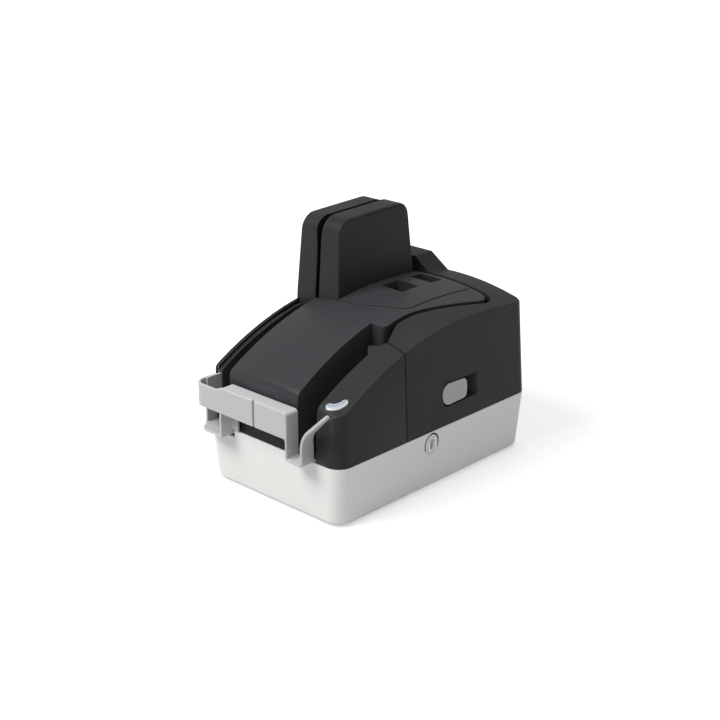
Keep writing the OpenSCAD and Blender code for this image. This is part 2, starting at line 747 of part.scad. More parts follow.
// Endorsing print cartridge in the bay behind the lid
print_z = floor_z + 30;
module cartridge_carrier() {
  y1 = rear_run_y - wall - 1;
  color("#4a4b4e") difference() {
    block(print_x - 11, print_x + 7.5, y1 - 34, y1 - 3, floor_z + 12, floor_z + 46);
    block(print_x - 9, print_x + 5.5, y1 - 32, y1 + 1, floor_z + 14, floor_z + 50);
  }
}
module print_cartridge() {
  y1 = rear_run_y - wall - 1;
  color("#1f2022") {
    block(print_x - 8.6, print_x + 5.1, y1 - 31.6, y1 - 3.4, floor_z + 14.4, floor_z + 50);
    block(print_x - 6, print_x + 4, y1 - 3.5, rear_run_y - 0.6, print_z - 7, print_z + 7);
    block(print_x - 8.6, print_x + 5.1, y1 - 38, y1 - 31.5, floor_z + 46.4, floor_z + 50);
  }
  color("#c9a24a") block(print_x - 3, print_x + 1, rear_run_y - 0.7, rear_run_y - 0.2, print_z - 6, print_z + 6);
}

// Magnetic ink reading head on the island side of the slot
micr_z = floor_z + 16;
module micr_head() {
  x1 = slot_in_x + slot_slant * 5 + 0.2;
  color("#9a9c9f") block(x1 - 9, x1 - 1, micr_y - 5, micr_y + 5, micr_z - 7.5, micr_z + 7.5);
  color(steel) translate([x1 - 5.8, micr_y, micr_z - 7]) cylinder(r = 5.8, h = 14, $fn = smooth);
}

// Upright halves that hold the image sensors
wing_front_lean = 4.4;
wing_side_lean = 3.2;
wing_top_fall = 2;
outer_wing_z = wing_z - 0.8;
function wing_profile(y0, y1, top, grow) =
  let (dy = (top - crown_z) * tan(wing_rear_lean))
  rounded(
    [[y0 + grow, wing_low_z + grow], [y1 - grow, wing_low_z + grow],
     [y1 - grow, crown_z], [y1 - grow - dy, top - grow],
     [y0 + grow + wing_front_lean, top - wing_top_fall - grow], [y0 + grow, crown_z - 8]],
    [0, 0, 0, wing_rear_r - grow, wing_front_r - grow, 150]);
sensor_y = 132;
sensor_l = 18;
module inner_wing_block(grow) {
  x0 = wing_slot_in_x + grow;
  x1 = wing_slot_in_x + inner_wing_w - grow;
  intersection() {
    side_prism(wing_profile(wing_front_y, wing_back_y, wing_z, grow), x0, x1);
    prism(rounded([[x0, 0], [x1, 0], [x1, rear_run_y - grow], [x0, rear_run_y - grow]],
      [0, 0, 0, turn_in_r - grow]), 0, 220);
    front_prism(rounded([[x0, 0], [x1, 0], [x1, crown_z - 8], [x1 - wing_side_lean, wing_z - grow],
      [x0, wing_z - grow]], [0, 0, 150, 3.5, 1.6]), -5, 220);
  }
}
module inner_wing() {
  color(charcoal) difference() {
    inner_wing_block(0);
    difference() {
      inner_wing_block(2);
      // Shelf with the exit roller's upper bearing
      block(-far, far, 0, sensor_y - 14, floor_z + 55, floor_z + 58);
    }
    cyl(exit_at, shaft_d / 2 + run_gap, 0, floor_z + 60);
    sensor_window(wing_slot_in_x - 1, wing_slot_in_x + 3);
    tyre_windows(exit_at, drive_roller_r);
    cyl(exit_at, 3, 0, wing_low_z + 4);
  }
}
module sensor_window(x0, x1) {
  block(x0, x1, sensor_y - 5, sensor_y + 5, floor_z + 14, wing_z - 17);
}
module sensor_bar(x0, x1) {
  color("#37383b") difference() {
    block(x0, x1, sensor_y - sensor_l / 2, sensor_y + sensor_l / 2, floor_z + 13.5, wing_z - 16);
    block(x0 - 1, x1 + 1, sensor_y - 3, sensor_y + 3, floor_z + 15, wing_z - 18);
  }
  color("#2f6b3c") block((x0 + x1) / 2 - 3, (x0 + x1) / 2 + 3, sensor_y - 3, sensor_y + 3,
    floor_z + 15, wing_z - 18);
}
module inner_sensor() {
  sensor_bar(wing_slot_in_x + 2.2, wing_slot_in_x + 15);
}
module inner_sensor_glass() {
  color([0.75, 0.85, 0.88, 0.6]) block(wing_slot_in_x + 0.1, wing_slot_in_x + 1.9, sensor_y - 4.8,
    sensor_y + 4.8, floor_z + 14.2, wing_z - 17.2);
}
module outer_wing_block(grow) {
  x0 = -body_w / 2 - 2;
  x1 = wing_slot_out_x - grow;
  intersection() {
    side_prism(wing_profile(outer_front_y, outer_back_y, outer_wing_z, grow), x0, x1);
    leaning_block(grow);
    front_prism(rounded([[x0, 0], [x1, 0], [x1, outer_wing_z - grow], [wing_slot_out_x - 20, outer_wing_z - grow],
      [x0, outer_wing_z - 3.5 - grow]], [0, 0, 1.6, 14, 0]), -5, 220);
  }
}
// Below the crown the outer half stands inside the left cover
module outer_wing_room(gap) {
  difference() {
    block(-far, far, 0, body_d, 0, 220);
    difference() {
      block(-far, far, -1, body_d + 1, -1, 221);
      leaning_block(wall + gap);
      translate([0, 0, gap - fit_gap]) difference() {
        block(-far, far, 0, body_d, 60, 220);
        crown(-0.3);
      }
    }
  }
}
module outer_wing() {
  color(charcoal) difference() {
    intersection() {
      outer_wing_block(0);
      outer_wing_room(fit_gap);
    }
    intersection() {
      outer_wing_block(2);
      leaning_block(wall + fit_gap + 2);
    }
    sensor_window(wing_slot_out_x - 3, wing_slot_out_x + 1);
    tyre_windows(exit_pinch_at, exit_pinch_r, 0.8);
    cyl(exit_pinch_at, 2.2, pinch_low_z - 1, pinch_high_z + 1);
    // Way through the floor of the half for the spring's back
    block(exit_pinch_at.x - 3.5, wing_slot_out_x - 1.7, sensor_y - 10.3, sensor_y - 8.6, wing_low_z - 1, wing_low_z + 2.4);
  }
}
outer_sensor_w = 10.2;
module outer_sensor() {
  sensor_bar(wing_slot_out_x - 2.2 - outer_sensor_w, wing_slot_out_x - 2.2);
}
module outer_sensor_glass() {
  color([0.75, 0.85, 0.88, 0.6]) block(wing_slot_out_x - 1.9, wing_slot_out_x - 0.1, sensor_y - 4.8,
    sensor_y + 4.8, floor_z + 14.2, wing_z - 17.2);
}
// Forked leaf that presses the exit pinch roller towards the slot
module exit_pinch_spring() {
  x0 = exit_pinch_at.x - 3;
  x1 = wing_slot_out_x - 2.3;
  y1 = sensor_y - sensor_l / 2;
  color(steel) difference() {
    for (z = [pinch_low_z + 1.4, pinch_high_z - 2.2])
      block(x0, x1, exit_pinch_at.y - 3, y1, z, z + 0.8);
    cyl(exit_pinch_at, 1.5 + run_gap, 0, 200);
  }
  color(steel) block(x0, x1, y1 - 0.8, y1, pinch_low_z + 1.4, pinch_high_z - 1.4);
}

// Left cover, the outer wall of the exit pocket
left_wall_t = 4;
left_front_y = 9.2;
module left_region() {
  difference() {
    union() {
      block(-far, -body_w / 2 + left_wall_t, left_front_y, outer_back_y, 0, 220);
      block(-far, hinge_x - seam, outer_back_y - 1, hinge_y, 0, 220);
    }
    difference() {
      cyl([hinge_x, hinge_y], barrel_r + barrel_gap, 0, 220);
      block(-far, far, 0, 220, knuckle_low_z, knuckle_high_z);
    }
  }
}
// Profile of the pocket's outer wall with its rounded front top corner
module pocket_side(y0, r) {
  rise = tan(asin((crown_y - y0) / slope_r));
  top = crown_at(body_w / 2 - left_wall_t, y0);
  side_prism(rounded([[y0, 0], [300, 0], [300, top + (300 - y0) * rise], [y0, top]], [0, 0, 0, r]), -far, far);
}
module left_cover() {
  color(charcoal) difference() {
    intersection() {
      skin_solid(0);
      pocket_side(left_front_y, 8);
      union() {
        left_region();
        cyl([hinge_x, hinge_y], barrel_r, knuckle_low_z, knuckle_high_z);
      }
      block(-far, far, 0, body_d, rim_z + seam, 200);
    }
    cyl([hinge_x, hinge_y], hinge_pin_d / 2, 0, 200);
    intersection() {
      skin_solid(wall);
      block(-far, hinge_x + 20, outer_front_y - 3, hinge_y - barrel_r, 0, 220);
    }
    intersection() {
      leaning_block(wall);
      block(-far, hinge_x + 20, outer_front_y - fit_gap, outer_back_y + fit_gap, 0, 220);
    }
  }
}
// Stepped lining of the exit pocket, with a channel behind it for the extension's arm
liner_t = 1.2;
liner_gap = 0.4;
module exit_liner() {
  x0 = -body_w / 2 + left_wall_t + 0.1;
  x1 = arm_x + guide_t + fit_gap + liner_t;
  y0 = left_front_y + 0.8;
  y1 = outer_front_y - 1;
  steps = 4;
  step_h = 3.4;
  color("#141416") intersection() {
    union() {
      intersection() {
        block(x1 - liner_t, x1, y0, y1, floor_z + 0.2, 200);
        translate([0, 0, -step_h]) crown(0.6);
      }
      for (i = [0 : steps - 1]) intersection() {
        block(x0, x0 + (x1 - x0) * (i + 1) / steps, y0, y1, arm_top_z + liner_gap, 200);
        translate([0, 0, -i * step_h]) crown(0.6);
      }
    }
    pocket_side(y0, 7);
  }
}

// Right front cover beside the feed channel
nose_tip = [feed_wall_x - 6.5, 60];
module feed_outline_prism(by) {
  outline = rounded(
    [[feed_wall_x, -5], [feed_wall_x, 53], nose_tip, [feed_wall_x + 0.6, 64.8],
     [feed_wall_x + 2.4, cover_seam_y - seam], [far, cover_seam_y - seam], [far, -5]],
    [0, 3, 1.5, 2, 0, 0, 0]);
  inner_prism(outline, by, 0, 220);
}
module feed_cover() {
  color(charcoal) difference() {
    intersection() {
      skin_solid(0);
      feed_outline_prism(0);
      above_tray();
    }
    intersection() {
      skin_solid(wall);
      feed_outline_prism(wall);
      block(-far, far, -5, body_d, floor_z - 1, 200);
    }
    lens_band(0.25, 80, 130);
    block(latch_x - 3.3, latch_x - 0.7, cover_seam_y - 6, cover_seam_y + 1, paddle_z - 2.9, paddle_z + 2.9);
    block(nose_tip.x - 3, nose_tip.x + 2.4, nose_tip.y - 3.5, nose_tip.y + 3, floor_z + 8, floor_z + 52);
  }
}
module separation_pad() {
  color("#5b4a3a") intersection() {
    block(nose_tip.x - 3, nose_tip.x + 2.2, nose_tip.y - 3.2, nose_tip.y + 2.7, floor_z + 8.3, floor_z + 51.7);
    feed_outline_prism(0);
  }
}
lens_at = [feed_wall_x + 3, 18];
lens_in_r = 9;
lens_out_r = 13.6;
lens_from = -72;
lens_to = -14;
// Curved band with round ends, drawn with even steps
function band_arc(at, r, a, b, n) = [for (i = [0 : n]) at + r * [cos(a + (b - a) * i / n), sin(a + (b - a) * i / n)]];
module lens_band(grow, z0, z1) {
  mid_r = (lens_in_r + lens_out_r) / 2;
  end_r = (lens_out_r - lens_in_r) / 2 + grow;
  first = lens_at + mid_r * [cos(lens_from), sin(lens_from)];
  last = lens_at + mid_r * [cos(lens_to), sin(lens_to)];
  prism(concat(
    band_arc(lens_at, lens_out_r + grow, lens_from, lens_to, 8),
    band_arc(last, end_r, lens_to + 15, lens_to + 165, 6),
    band_arc(lens_at, lens_in_r - grow, lens_to, lens_from, 8),
    band_arc(first, end_r, lens_from + 195, lens_from + 345, 6)), z0, z1);
}
module status_lens() {
  color("#c9d6e4") intersection() {
    lens_band(0, 84, 120);
    crown(-0.4);
  }
}
module status_board() {
  x0 = feed_wall_x + wall + 0.5;
  z = rim_z + 28.5;
  color("#2f6b3c") block(x0, x0 + 12, 8, 22, z, z + 1.2);
  color("#f0f0e0") for (at = [[x0 + 5, 9.5], [x0 + 9.5, 14]]) cyl(at, 1.2, z + 1.1, z + 3.4);
}

// Grey front guide: bar, feed channel mouth, feed lip and exit shoe
pocket_plate_x = 5.5 - island_left_x;
leg_x = island_right_x - guide_t;
guide_back_y = -fit_gap;
plate_front_y = -guide_reach + guide_t + fit_gap;
split_gap = 1.7;
bar_left_x = pocket_plate_x + 3.2;
// One edge of the feed lip's bend, at a distance from its middle line towards the inside of the bend
function lip_bend(d) = [for (k = [0 : 12]) let (a = lip_lean * k / 12)
  [lip_mid_x + lip_r - (lip_r - d) * cos(a), lip_start_z + (lip_r - d) * sin(a)]];
lip_tip = [for (k = [0 : 8]) [lip_tip_x, floor_z + lip_h] + lip_t / 2 * [cos(k * 22.5 - lip_lean), sin(k * 22.5 - lip_lean)]];
// Bar, leg, channel floor and lip are one profile
module guide_profile() {
  right = lip_bend(lip_t / 2);
  left = lip_bend(-lip_t / 2);
  bend = concat(right, lip_tip, [for (k = [len(left) - 1 : -1 : 0]) left[k]]);
  polygon(rounded(
    concat([[bar_left_x, bar_low_z], [leg_x, bar_low_z], [leg_x, rim_z], [lip_inner_x + lip_t, rim_z]], bend,
      [[lip_inner_x, rim_z + guide_t], [island_right_x, rim_z + guide_t], [island_right_x, bar_top_z],
       [bar_left_x, bar_top_z]]),
    concat([0, 1.5, 2, 3], [for (p = bend) 0], [1.5, 1.5, 3, 0])));
}
module profile_run(y0, y1) {
  translate([0, y1, 0]) rotate([90, 0, 0]) linear_extrude(y1 - y0) guide_profile();
}
module front_guide() {
  color(guide_grey) difference() {
    union() {
      intersection() {
        profile_run(-guide_reach, guide_back_y);
        block(split_gap - pocket_split_x, far, -far, far, 0, 200);
      }
      intersection() {
        profile_run(plate_front_y, guide_back_y);
        block(-far, leg_x, -far, far, 0, 200);
      }
      // The channel's floor lies on the tray's rim
      block(island_right_x + fit_gap, lip_inner_x + lip_t, -1, wall - 0.2, rim_z, rim_z + guide_t);
      block(pocket_plate_x, pocket_plate_x + guide_t, plate_front_y, guide_back_y, floor_z - guide_t, bar_low_z + 1);
      block(pocket_plate_x + guide_t - eps, pocket_plate_x + 9, -2.4, guide_back_y, rim_z + 1, bar_low_z + 1);
      exit_shoe();
    }
    block(bar_left_x + guide_t, leg_x, plate_front_y + guide_t, 5, bar_low_z - 1, bar_top_z - guide_t);
    // The lip's rear edge narrows towards the tip
    side_prism([[0.2, lip_start_z], [-guide_reach + 3, floor_z + lip_h + 1.5], [10, floor_z + lip_h + 1.5],
      [10, lip_start_z]], lip_inner_x - 1, far);
  }
}
pocket_x0 = -body_w / 2 + 1.8;
module exit_shoe() {
  fy = -guide_reach + 0.4;
  wall_x = pocket_x0 + 0.3;
  step_x = wall_x + guide_t + 1.2;
  back_y = fy + pocket_r + 0.5;
  outline = rounded([[wall_x, 8.6], [wall_x, back_y], [step_x, back_y], [step_x, fy], [pocket_plate_x + guide_t, fy],
    [pocket_plate_x + guide_t, 8.6]], [0, 1, 0, pocket_r, 0, 0], 12);
  prism(outline, floor_z - guide_t, floor_z);
  block(wall_x, wall_x + guide_t, back_y, 8.6, floor_z - eps, bar_low_z - fit_gap);
  block(pocket_plate_x, pocket_plate_x + guide_t, fy, guide_back_y, floor_z - guide_t, bar_low_z - fit_gap);
}
// Sliding corner of the exit pocket, with an arm behind the lining
pocket_drop = 2.5;
arm_x = pocket_x0 + guide_t + 1.6;
arm_top_z = bar_top_z - 1.4;
module pocket_outline(by) {
  y0 = -guide_reach;
  offset(delta = -by) polygon(rounded(
    [[pocket_x0, 30], [pocket_x0, y0], [20, y0], [20, 30]], [0, pocket_r, 0, 0], 12));
}
module pocket_extension() {
  split = -pocket_split_x;
  color(guide_grey) {
    difference() {
      translate([0, 0, bar_low_z]) linear_extrude(bar_top_z - bar_low_z) difference() {
        pocket_outline(0);
        pocket_outline(guide_t);
      }
      block(split, far, -30, 40, 0, 200);
      block(-far, far, 8.2, 60, 0, 200);
      front_prism([[-far, bar_top_z - pocket_drop], [bar_left_x - 6.4, bar_top_z - pocket_drop],
        [bar_left_x, bar_top_z + eps], [-far, bar_top_z + 1]], -40, 60);
    }
    block(pocket_x0 + guide_t - eps, arm_x + 1, -3, 8.2, bar_low_z, bar_low_z + guide_t);
    block(arm_x, arm_x + guide_t, -3, 62, bar_low_z, arm_top_z);
  }
}

// Jam cover: the outer shell of the right side and the rear
module jam_region(by) {
  difference() {
    prism(
      [[far, cover_seam_y + by], [far, body_d + 20], [-far, body_d + 20], [-far, hinge_y + by],
       [hinge_x + by, hinge_y + by], [hinge_x + by, jam_front_y + by],
       [0, jam_front_y + by], [0, cover_seam_y + by]], 0, 220);
    translate([0, 0, -1]) linear_extrude(222) offset(delta = by) polygon(guide_line);
  }
}
module hump(inset) {
  intersection() {
    leaning_block(inset);
    front_prism(rounded(
      [[-far, 70], [-far, hump_z - inset], [-hump_top_x - inset * 0.3, hump_z - inset],
       [-hump_top_x + 17 - inset * 0.6, crown_z - 4 - inset], [-hump_top_x + 17 - inset, 70]],
      [0, 0, 3, 2, 0]), rear_out_y + 0.4 + inset, body_d + 20);
  }
}
module jam_shape(inset) {
  union() {
    intersection() {
      skin_solid(inset);
      jam_region(inset);
    }
    intersection() {
      hump(inset);
      jam_region(inset);
    }
  }
}
module paddle_2d(grow) {
  h = paddle_h / 2 + grow;
  polygon(rounded(
    [[-grow, -h], [paddle_w + grow, -h + 1], [paddle_w + 1 + grow, 0], [paddle_w + grow, h - 1], [-grow, h]],
    [8, 4.5, 25, 4.5, 8]));
}
module paddle_prism(grow, x0, x1) {
  translate([x0, paddle_y, paddle_z]) rotate([90, 0, 90]) linear_extrude(x1 - x0) paddle_2d(grow);
}
module jam_cover() {
  recess_y = paddle_y + paddle_w - 2;
  recess_in = latch_x - 5;
  color(charcoal) difference() {
    union() {
      difference() {
        intersection() {
          jam_shape(0);
          above_tray();
        }
        intersection() {
          jam_shape(wall);
          block(-far, far, 0, body_d + 20, rim_z - 1, 220);
        }
      }
      intersection() {
        cyl([hinge_x, hinge_y], barrel_r, rim_z + seam, 200);
        union() {
          skin_solid(0);
          hump(0);
        }
      }
      // Walls of the finger recess and the latch bosses
      intersection() {
        leaning_block(0);
        union() {
          block(recess_in - 1.6, far, recess_y - 1.6, recess_y + recess_w + 3.6,
            paddle_z - paddle_h / 2 - 1.6, paddle_z + paddle_h / 2 + 1.6);
          for (s = [-1, 1]) translate([0, 0, paddle_z + s * (paddle_h / 2 + 3)])
            block(latch_x - 3, far, latch_y - 3, latch_y + 3, -1.5, 1.5);
        }
      }
    }
    block(feed_wall_x + 2, latch_x + 0.5, cover_seam_y - 1, cover_seam_y + wall + 1, paddle_z - 4, paddle_z + 4);
    paddle_prism(paddle_gap, latch_x - 5, far);
    // Finger recess, which runs out in a ramp to the rear
    prism([[recess_in, recess_y], [recess_in, recess_y + recess_w - 1.6],
      [latch_x + 4.6, recess_y + recess_w + 4.4], [far, recess_y + recess_w + 4.4], [far, recess_y]],
      paddle_z - paddle_h / 2, paddle_z + paddle_h / 2);
    cyl([latch_x, latch_y], latch_pin_d / 2, paddle_z - paddle_h / 2 - 4, paddle_z + paddle_h / 2 + 4);
    cyl([hinge_x, hinge_y], hinge_pin_d / 2 + run_gap, 0, hinge_high_z - 3);
    cyl([hinge_x, hinge_y], barrel_r + barrel_gap, knuckle_low_z - fit_gap, knuckle_high_z + fit_gap);
    cyl([hinge_x, hinge_y], 5.5, 0, rim_z + seam);
    for (p = [[retard_at, pinch_roller_r], [turn_pinch_at, pinch_roller_r], [rear_pinch_at, pinch_roller_r]])
      cyl(p[0], p[1] + 1, pinch_low_z - 1, pinch_high_z + 1);
  }
}
// Sheet brackets that carry the pinch rollers behind the jam cover's guide wall
pinch_places = [
  [retard_at, 0, slot_w + wall - nip_reach],
  [turn_pinch_at, -slant_a, slot_w * cos(slant_a) + wall - nip_reach],
  [rear_pinch_at, 90, rear_out_y - rear_run_y + wall - nip_reach]];
module pinch_brackets() {
  color(steel) intersection() {
    for (p = pinch_places) translate([p[0].x, p[0].y, 0]) rotate(p[1]) difference() {
      union() {
        for (z = [pinch_low_z + 1, pinch_high_z - 2]) block(-2.4, pinch_roller_r + 1.8, -3.4, 3.4, z, z + 1);
        block(pinch_roller_r + 0.8, pinch_roller_r + 1.8, -8.4, 8.4, pinch_low_z + 1, pinch_high_z - 1);
        for (s = [-1, 1]) block(-8, pinch_roller_r + 1.8, s * 7.9 - 0.5, s * 7.9 + 0.5,
          pinch_low_z + 1, pinch_high_z - 1);
      }
      translate([0, 0, -1]) cylinder(r = 1.5 + run_gap, h = 200, $fn = smooth);
    }
    union() {
      jam_region(wall + 0.02);
      for (p = pinch_places) cyl(p[0], pinch_roller_r + 0.6, 0, 200);
    }
  }
}
module hinge_pin() {
  color(steel) cyl([hinge_x, hinge_y], hinge_pin_d / 2, deck_low_z, hinge_high_z - 4);
}
module latch_paddle() {
  top = paddle_h / 2;
  color(latch_grey) difference() {
    union() {
      intersection() {
        paddle_prism(0, latch_x - 0.4, far);
        difference() {
          leaning_block(0.1);
          leaning_block(0.1 + paddle_t);
        }
      }
      cyl([latch_x, latch_y], 2.3, paddle_z - top + 2.7, paddle_z + top - 2.7);
      block(latch_x - 5.4, latch_x, latch_y - 2, latch_y + 1.6, paddle_z - 3, paddle_z + 3);
      prism([[latch_x - 5.4, latch_y], [latch_x - 2.6, latch_y], catch_at + open_dir * 2, catch_at - open_dir * 2,
        catch_at - open_dir * 2 + [-1.8, 0.2], [latch_x - 5.4, catch_at.y + 5]], paddle_z - 3, paddle_z + 3);
    }
    cyl([latch_x, latch_y], latch_pin_d / 2 + run_gap, 0, 200);
    cyl([latch_x, latch_y], 2.5, paddle_z + 3.2, paddle_z + 5.4);
  }
}
module latch_pin() {
  top = paddle_h / 2;
  color(steel) cyl([latch_x, latch_y], latch_pin_d / 2, paddle_z - top - 3.8, paddle_z + top + 3.8);
}
module latch_spring() {
  z = paddle_z + 3.4;
  color(steel) {
    difference() {
      cyl([latch_x, latch_y], 1.9, z, z + 1.8);
      cyl([latch_x, latch_y], latch_pin_d / 2 + 0.2, 0, 200);
    }
    block(latch_x - 1.9, latch_x - 1.3, latch_y, latch_y + 9, z, z + 0.6);
    block(latch_x - 1.9, latch_x - 1.3, latch_y - 9, latch_y, z + 1.2, z + 1.8);
  }
}
// Fixed tongue that the latch's arm hooks over, reaching back through the jam cover's front wall
module latch_keeper() {
  a = catch_at + [open_dir.y, -open_dir.x] * 0.4;
  b = cover_seam_y - seam - wall;
  color(steel) {
    prism([a - open_dir * 2.6, a + open_dir * 3.4, [latch_x - 1, a.y + open_dir.y * 3.4], [latch_x - 1, b],
      [latch_x - 3, b], [latch_x - 3, a.y - open_dir.y * 2.6 - 1]], paddle_z - 2.6, paddle_z + 2.6);
    block(latch_x - 12, latch_x - 1, b - 1.2, b, paddle_z - 6, paddle_z + 6);
  }
}

place() base_tray();
place() rubber_feet();
place() base_screws();
place() main_board();
place() power_inlet();
place() usb_port();
place() power_rocker();
place() switch_frame();
place() path_deck();
place() drive_motor();
place() motor_pulley();
place() timing_belt();
place() shaft_bushes();
place() shaft_plate();
place() plate_posts();
place() pick_roller();
place() feed_roller();
place() turn_roller();
place() rear_roller();
place() exit_roller();
place() retard_roller();
place() turn_pinch_roller();
place() rear_pinch_roller();
place() exit_pinch_roller();
place() exit_pinch_spring();
place() island_cover();
place() cartridge_cover();
place() print_cartridge();
place() cartridge_carrier();
place() micr_head();
place() inner_wing();
place() inner_sensor();
place() inner_sensor_glass();
place() outer_wing();
place() outer_sensor();
place() outer_sensor_glass();
place() left_cover();
place() exit_liner();
place() feed_cover();
place() separation_pad();
place() status_lens();
place() status_board();
place() front_guide();
place() pocket_extension();
place() jam_cover();
place() pinch_brackets();
place() hinge_pin();
place() latch_paddle();
place() latch_pin();
place() latch_spring();
place() latch_keeper();
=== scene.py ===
"""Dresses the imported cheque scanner: softened mouldings, finishes, rollers and a plain studio."""
import math

import bmesh
import bpy
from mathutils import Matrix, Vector
from mathutils.bvhtree import BVHTree
from mathutils.kdtree import KDTree


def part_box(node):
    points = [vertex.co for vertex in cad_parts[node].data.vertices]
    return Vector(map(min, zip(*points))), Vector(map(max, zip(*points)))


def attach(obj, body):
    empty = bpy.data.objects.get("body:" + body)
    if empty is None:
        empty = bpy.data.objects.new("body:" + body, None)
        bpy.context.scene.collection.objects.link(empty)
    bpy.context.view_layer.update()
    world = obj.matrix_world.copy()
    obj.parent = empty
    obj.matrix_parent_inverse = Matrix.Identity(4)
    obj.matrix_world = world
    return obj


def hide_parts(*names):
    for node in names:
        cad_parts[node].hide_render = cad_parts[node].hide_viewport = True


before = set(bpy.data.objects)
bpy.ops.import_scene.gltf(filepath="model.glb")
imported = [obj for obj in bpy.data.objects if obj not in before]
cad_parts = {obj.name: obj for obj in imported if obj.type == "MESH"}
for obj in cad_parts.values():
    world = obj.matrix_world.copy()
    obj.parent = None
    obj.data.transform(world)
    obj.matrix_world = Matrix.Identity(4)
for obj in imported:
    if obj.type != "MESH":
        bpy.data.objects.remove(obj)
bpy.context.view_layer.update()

MM = 0.001
scene = bpy.context.scene


# Camera

IMAGE_WIDTH = 720
FOCAL_PIXELS = 1460.7
SENSOR_MM = 36.0
NEAREST, FARTHEST = 0.05, 60
tray_low, tray_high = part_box("base_tray")


def machine(x, y, z):
    """A place in millimetres from the middle of the tray's front edge, up from its underside."""
    middle = (tray_low[0] + tray_high[0]) / 2
    return Vector((middle + x * MM, tray_low[1] + y * MM, tray_low[2] + z * MM))


EYE = machine(709.69, -649.92, 477.86)
LOOK_AT = machine(-7.40, 102.2, 80.4)


def add_camera():
    """The photograph's viewpoint, from the front right and a little above."""
    data = bpy.data.cameras.new("photo_camera")
    data.sensor_width = SENSOR_MM
    data.lens = FOCAL_PIXELS * SENSOR_MM / IMAGE_WIDTH
    data.clip_start = NEAREST
    data.clip_end = FARTHEST
    camera = bpy.data.objects.new("photo_camera", data)
    camera.location = EYE
    camera.rotation_euler = (LOOK_AT - EYE).to_track_quat("-Z", "Y").to_euler()
    scene.collection.objects.link(camera)
    scene.camera = camera


add_camera()
scene.view_settings.view_transform = "Standard"


# Shader sockets as Python values

class Field:
    """A shader socket that can be added, multiplied and compared like a number."""

    def __init__(self, finish, socket):
        self.finish = finish
        self.socket = socket

    def maths(self, operation, *values):
        """A Math node over the values, in their order."""
        return self.finish.node("ShaderNodeMath", {"operation": operation}, dict(enumerate(values)))

    def __add__(self, other):
        return self.maths("ADD", self, other)

    __radd__ = __add__

    def __mul__(self, other):
        return self.maths("MULTIPLY", self, other)

    __rmul__ = __mul__

    def __sub__(self, other):
        return self.maths("SUBTRACT", self, other)

    def __rsub__(self, other):
        return self.maths("SUBTRACT", other, self)

    def __truediv__(self, other):
        return self.maths("DIVIDE", self, other)

    def __rtruediv__(self, other):
        return self.maths("DIVIDE", other, self)

    def __gt__(self, other):
        return self.maths("GREATER_THAN", self, other)

    def __lt__(self, other):
        return self.maths("LESS_THAN", self, other)


class Finish:
    """One material around a Principled shader."""

    def __init__(self, name, **constants):
        self.material = bpy.data.materials.new(name)
        self.material.use_nodes = True
        self.tree = self.material.node_tree
        self.shader = self.tree.nodes["Principled BSDF"]
        for socket, value in constants.items():
            self.shader.inputs[socket.replace("_", " ")].default_value = value

    def feed(self, socket, value):
        """Links a field to a socket, or sets a plain value on it."""
        if isinstance(value, Field):
            self.tree.links.new(value.socket, socket)
        else:
            socket.default_value = value

    def node(self, kind, settings=None, inputs=None, output=0):
        """Adds a node with its settings first, then the values or links of its sockets."""
        made = self.tree.nodes.new(kind)
        for key, value in (settings or {}).items():
            if key == "stops":
                elements = made.color_ramp.elements
                while len(elements) < len(value):
                    elements.new(0.5)
                for element, (place, level) in zip(elements, value):
                    element.position = place
                    element.color = tone(level) if isinstance(level, float) else (*level, 1)
            else:
                setattr(made, key, value)
        for key, value in (inputs or {}).items():
            self.feed(made.inputs[key], value)
        return Field(self, made.outputs[output])

    def set(self, **links):
        """Feeds the shader's own sockets."""
        for socket, value in links.items():
            self.feed(self.shader.inputs[socket.replace("_", " ")], value)

    def place(self):
        """Position on the object in metres."""
        return self.node("ShaderNodeTexCoord", output="Object")

    def along(self, axis):
        """Position along one axis in metres."""
        return self.node("ShaderNodeSeparateXYZ", None, {0: self.place()}, output=axis)

    def size_of(self, value):
        """The value without its sign."""
        return self.node("ShaderNodeMath", {"operation": "ABSOLUTE"}, {0: value})

    def stretched(self, scale):
        """Position drawn out along the axes with a small scale, for marks that run one way."""
        return self.node("ShaderNodeMapping", {"vector_type": "POINT"},
                         {"Vector": self.place(), "Scale": scale})

    def noise(self, per_metre, detail=3.0, rough=0.5, where=None):
        """Cloudy variation between 0 and 1."""
        return self.node("ShaderNodeTexNoise", {"noise_dimensions": "3D"},
                         {"Vector": where or self.place(), "Scale": per_metre,
                          "Detail": detail, "Roughness": rough})

    def cells(self, per_metre):
        """Distance to the middle of the nearest of many small cells."""
        return self.node("ShaderNodeTexVoronoi", {"feature": "F1"},
                         {"Vector": self.place(), "Scale": per_metre})

    def ramp(self, value, *stops):
        """Level or colour over value, from stops of a place and a level or colour."""
        return self.node("ShaderNodeValToRGB", {"stops": stops}, {"Fac": value})

    def blend(self, share, first, second):
        """Colour from first to second as share goes from 0 to 1."""
        return self.node("ShaderNodeMix", {"data_type": "RGBA"},
                         {"Factor": share, 6: first, 7: second}, output=2)

    def edges(self, low, high):
        """One along outer edges, nothing on flat faces and in corners."""
        pointed = self.node("ShaderNodeNewGeometry", output="Pointiness")
        return self.ramp(pointed, (low, 0.0), (high, 1.0))

    def bump(self, height, strength, depth_mm):
        """Surface relief of at most depth_mm."""
        return self.node("ShaderNodeBump", None,
                         {"Height": height, "Strength": strength, "Distance": depth_mm * MM})


def tone(level, tint=(1.0, 1.0, 1.0)):
    """A grey of the given level, or a tinted one."""
    return tuple(level * c for c in tint) + (1.0,)


# Finishes

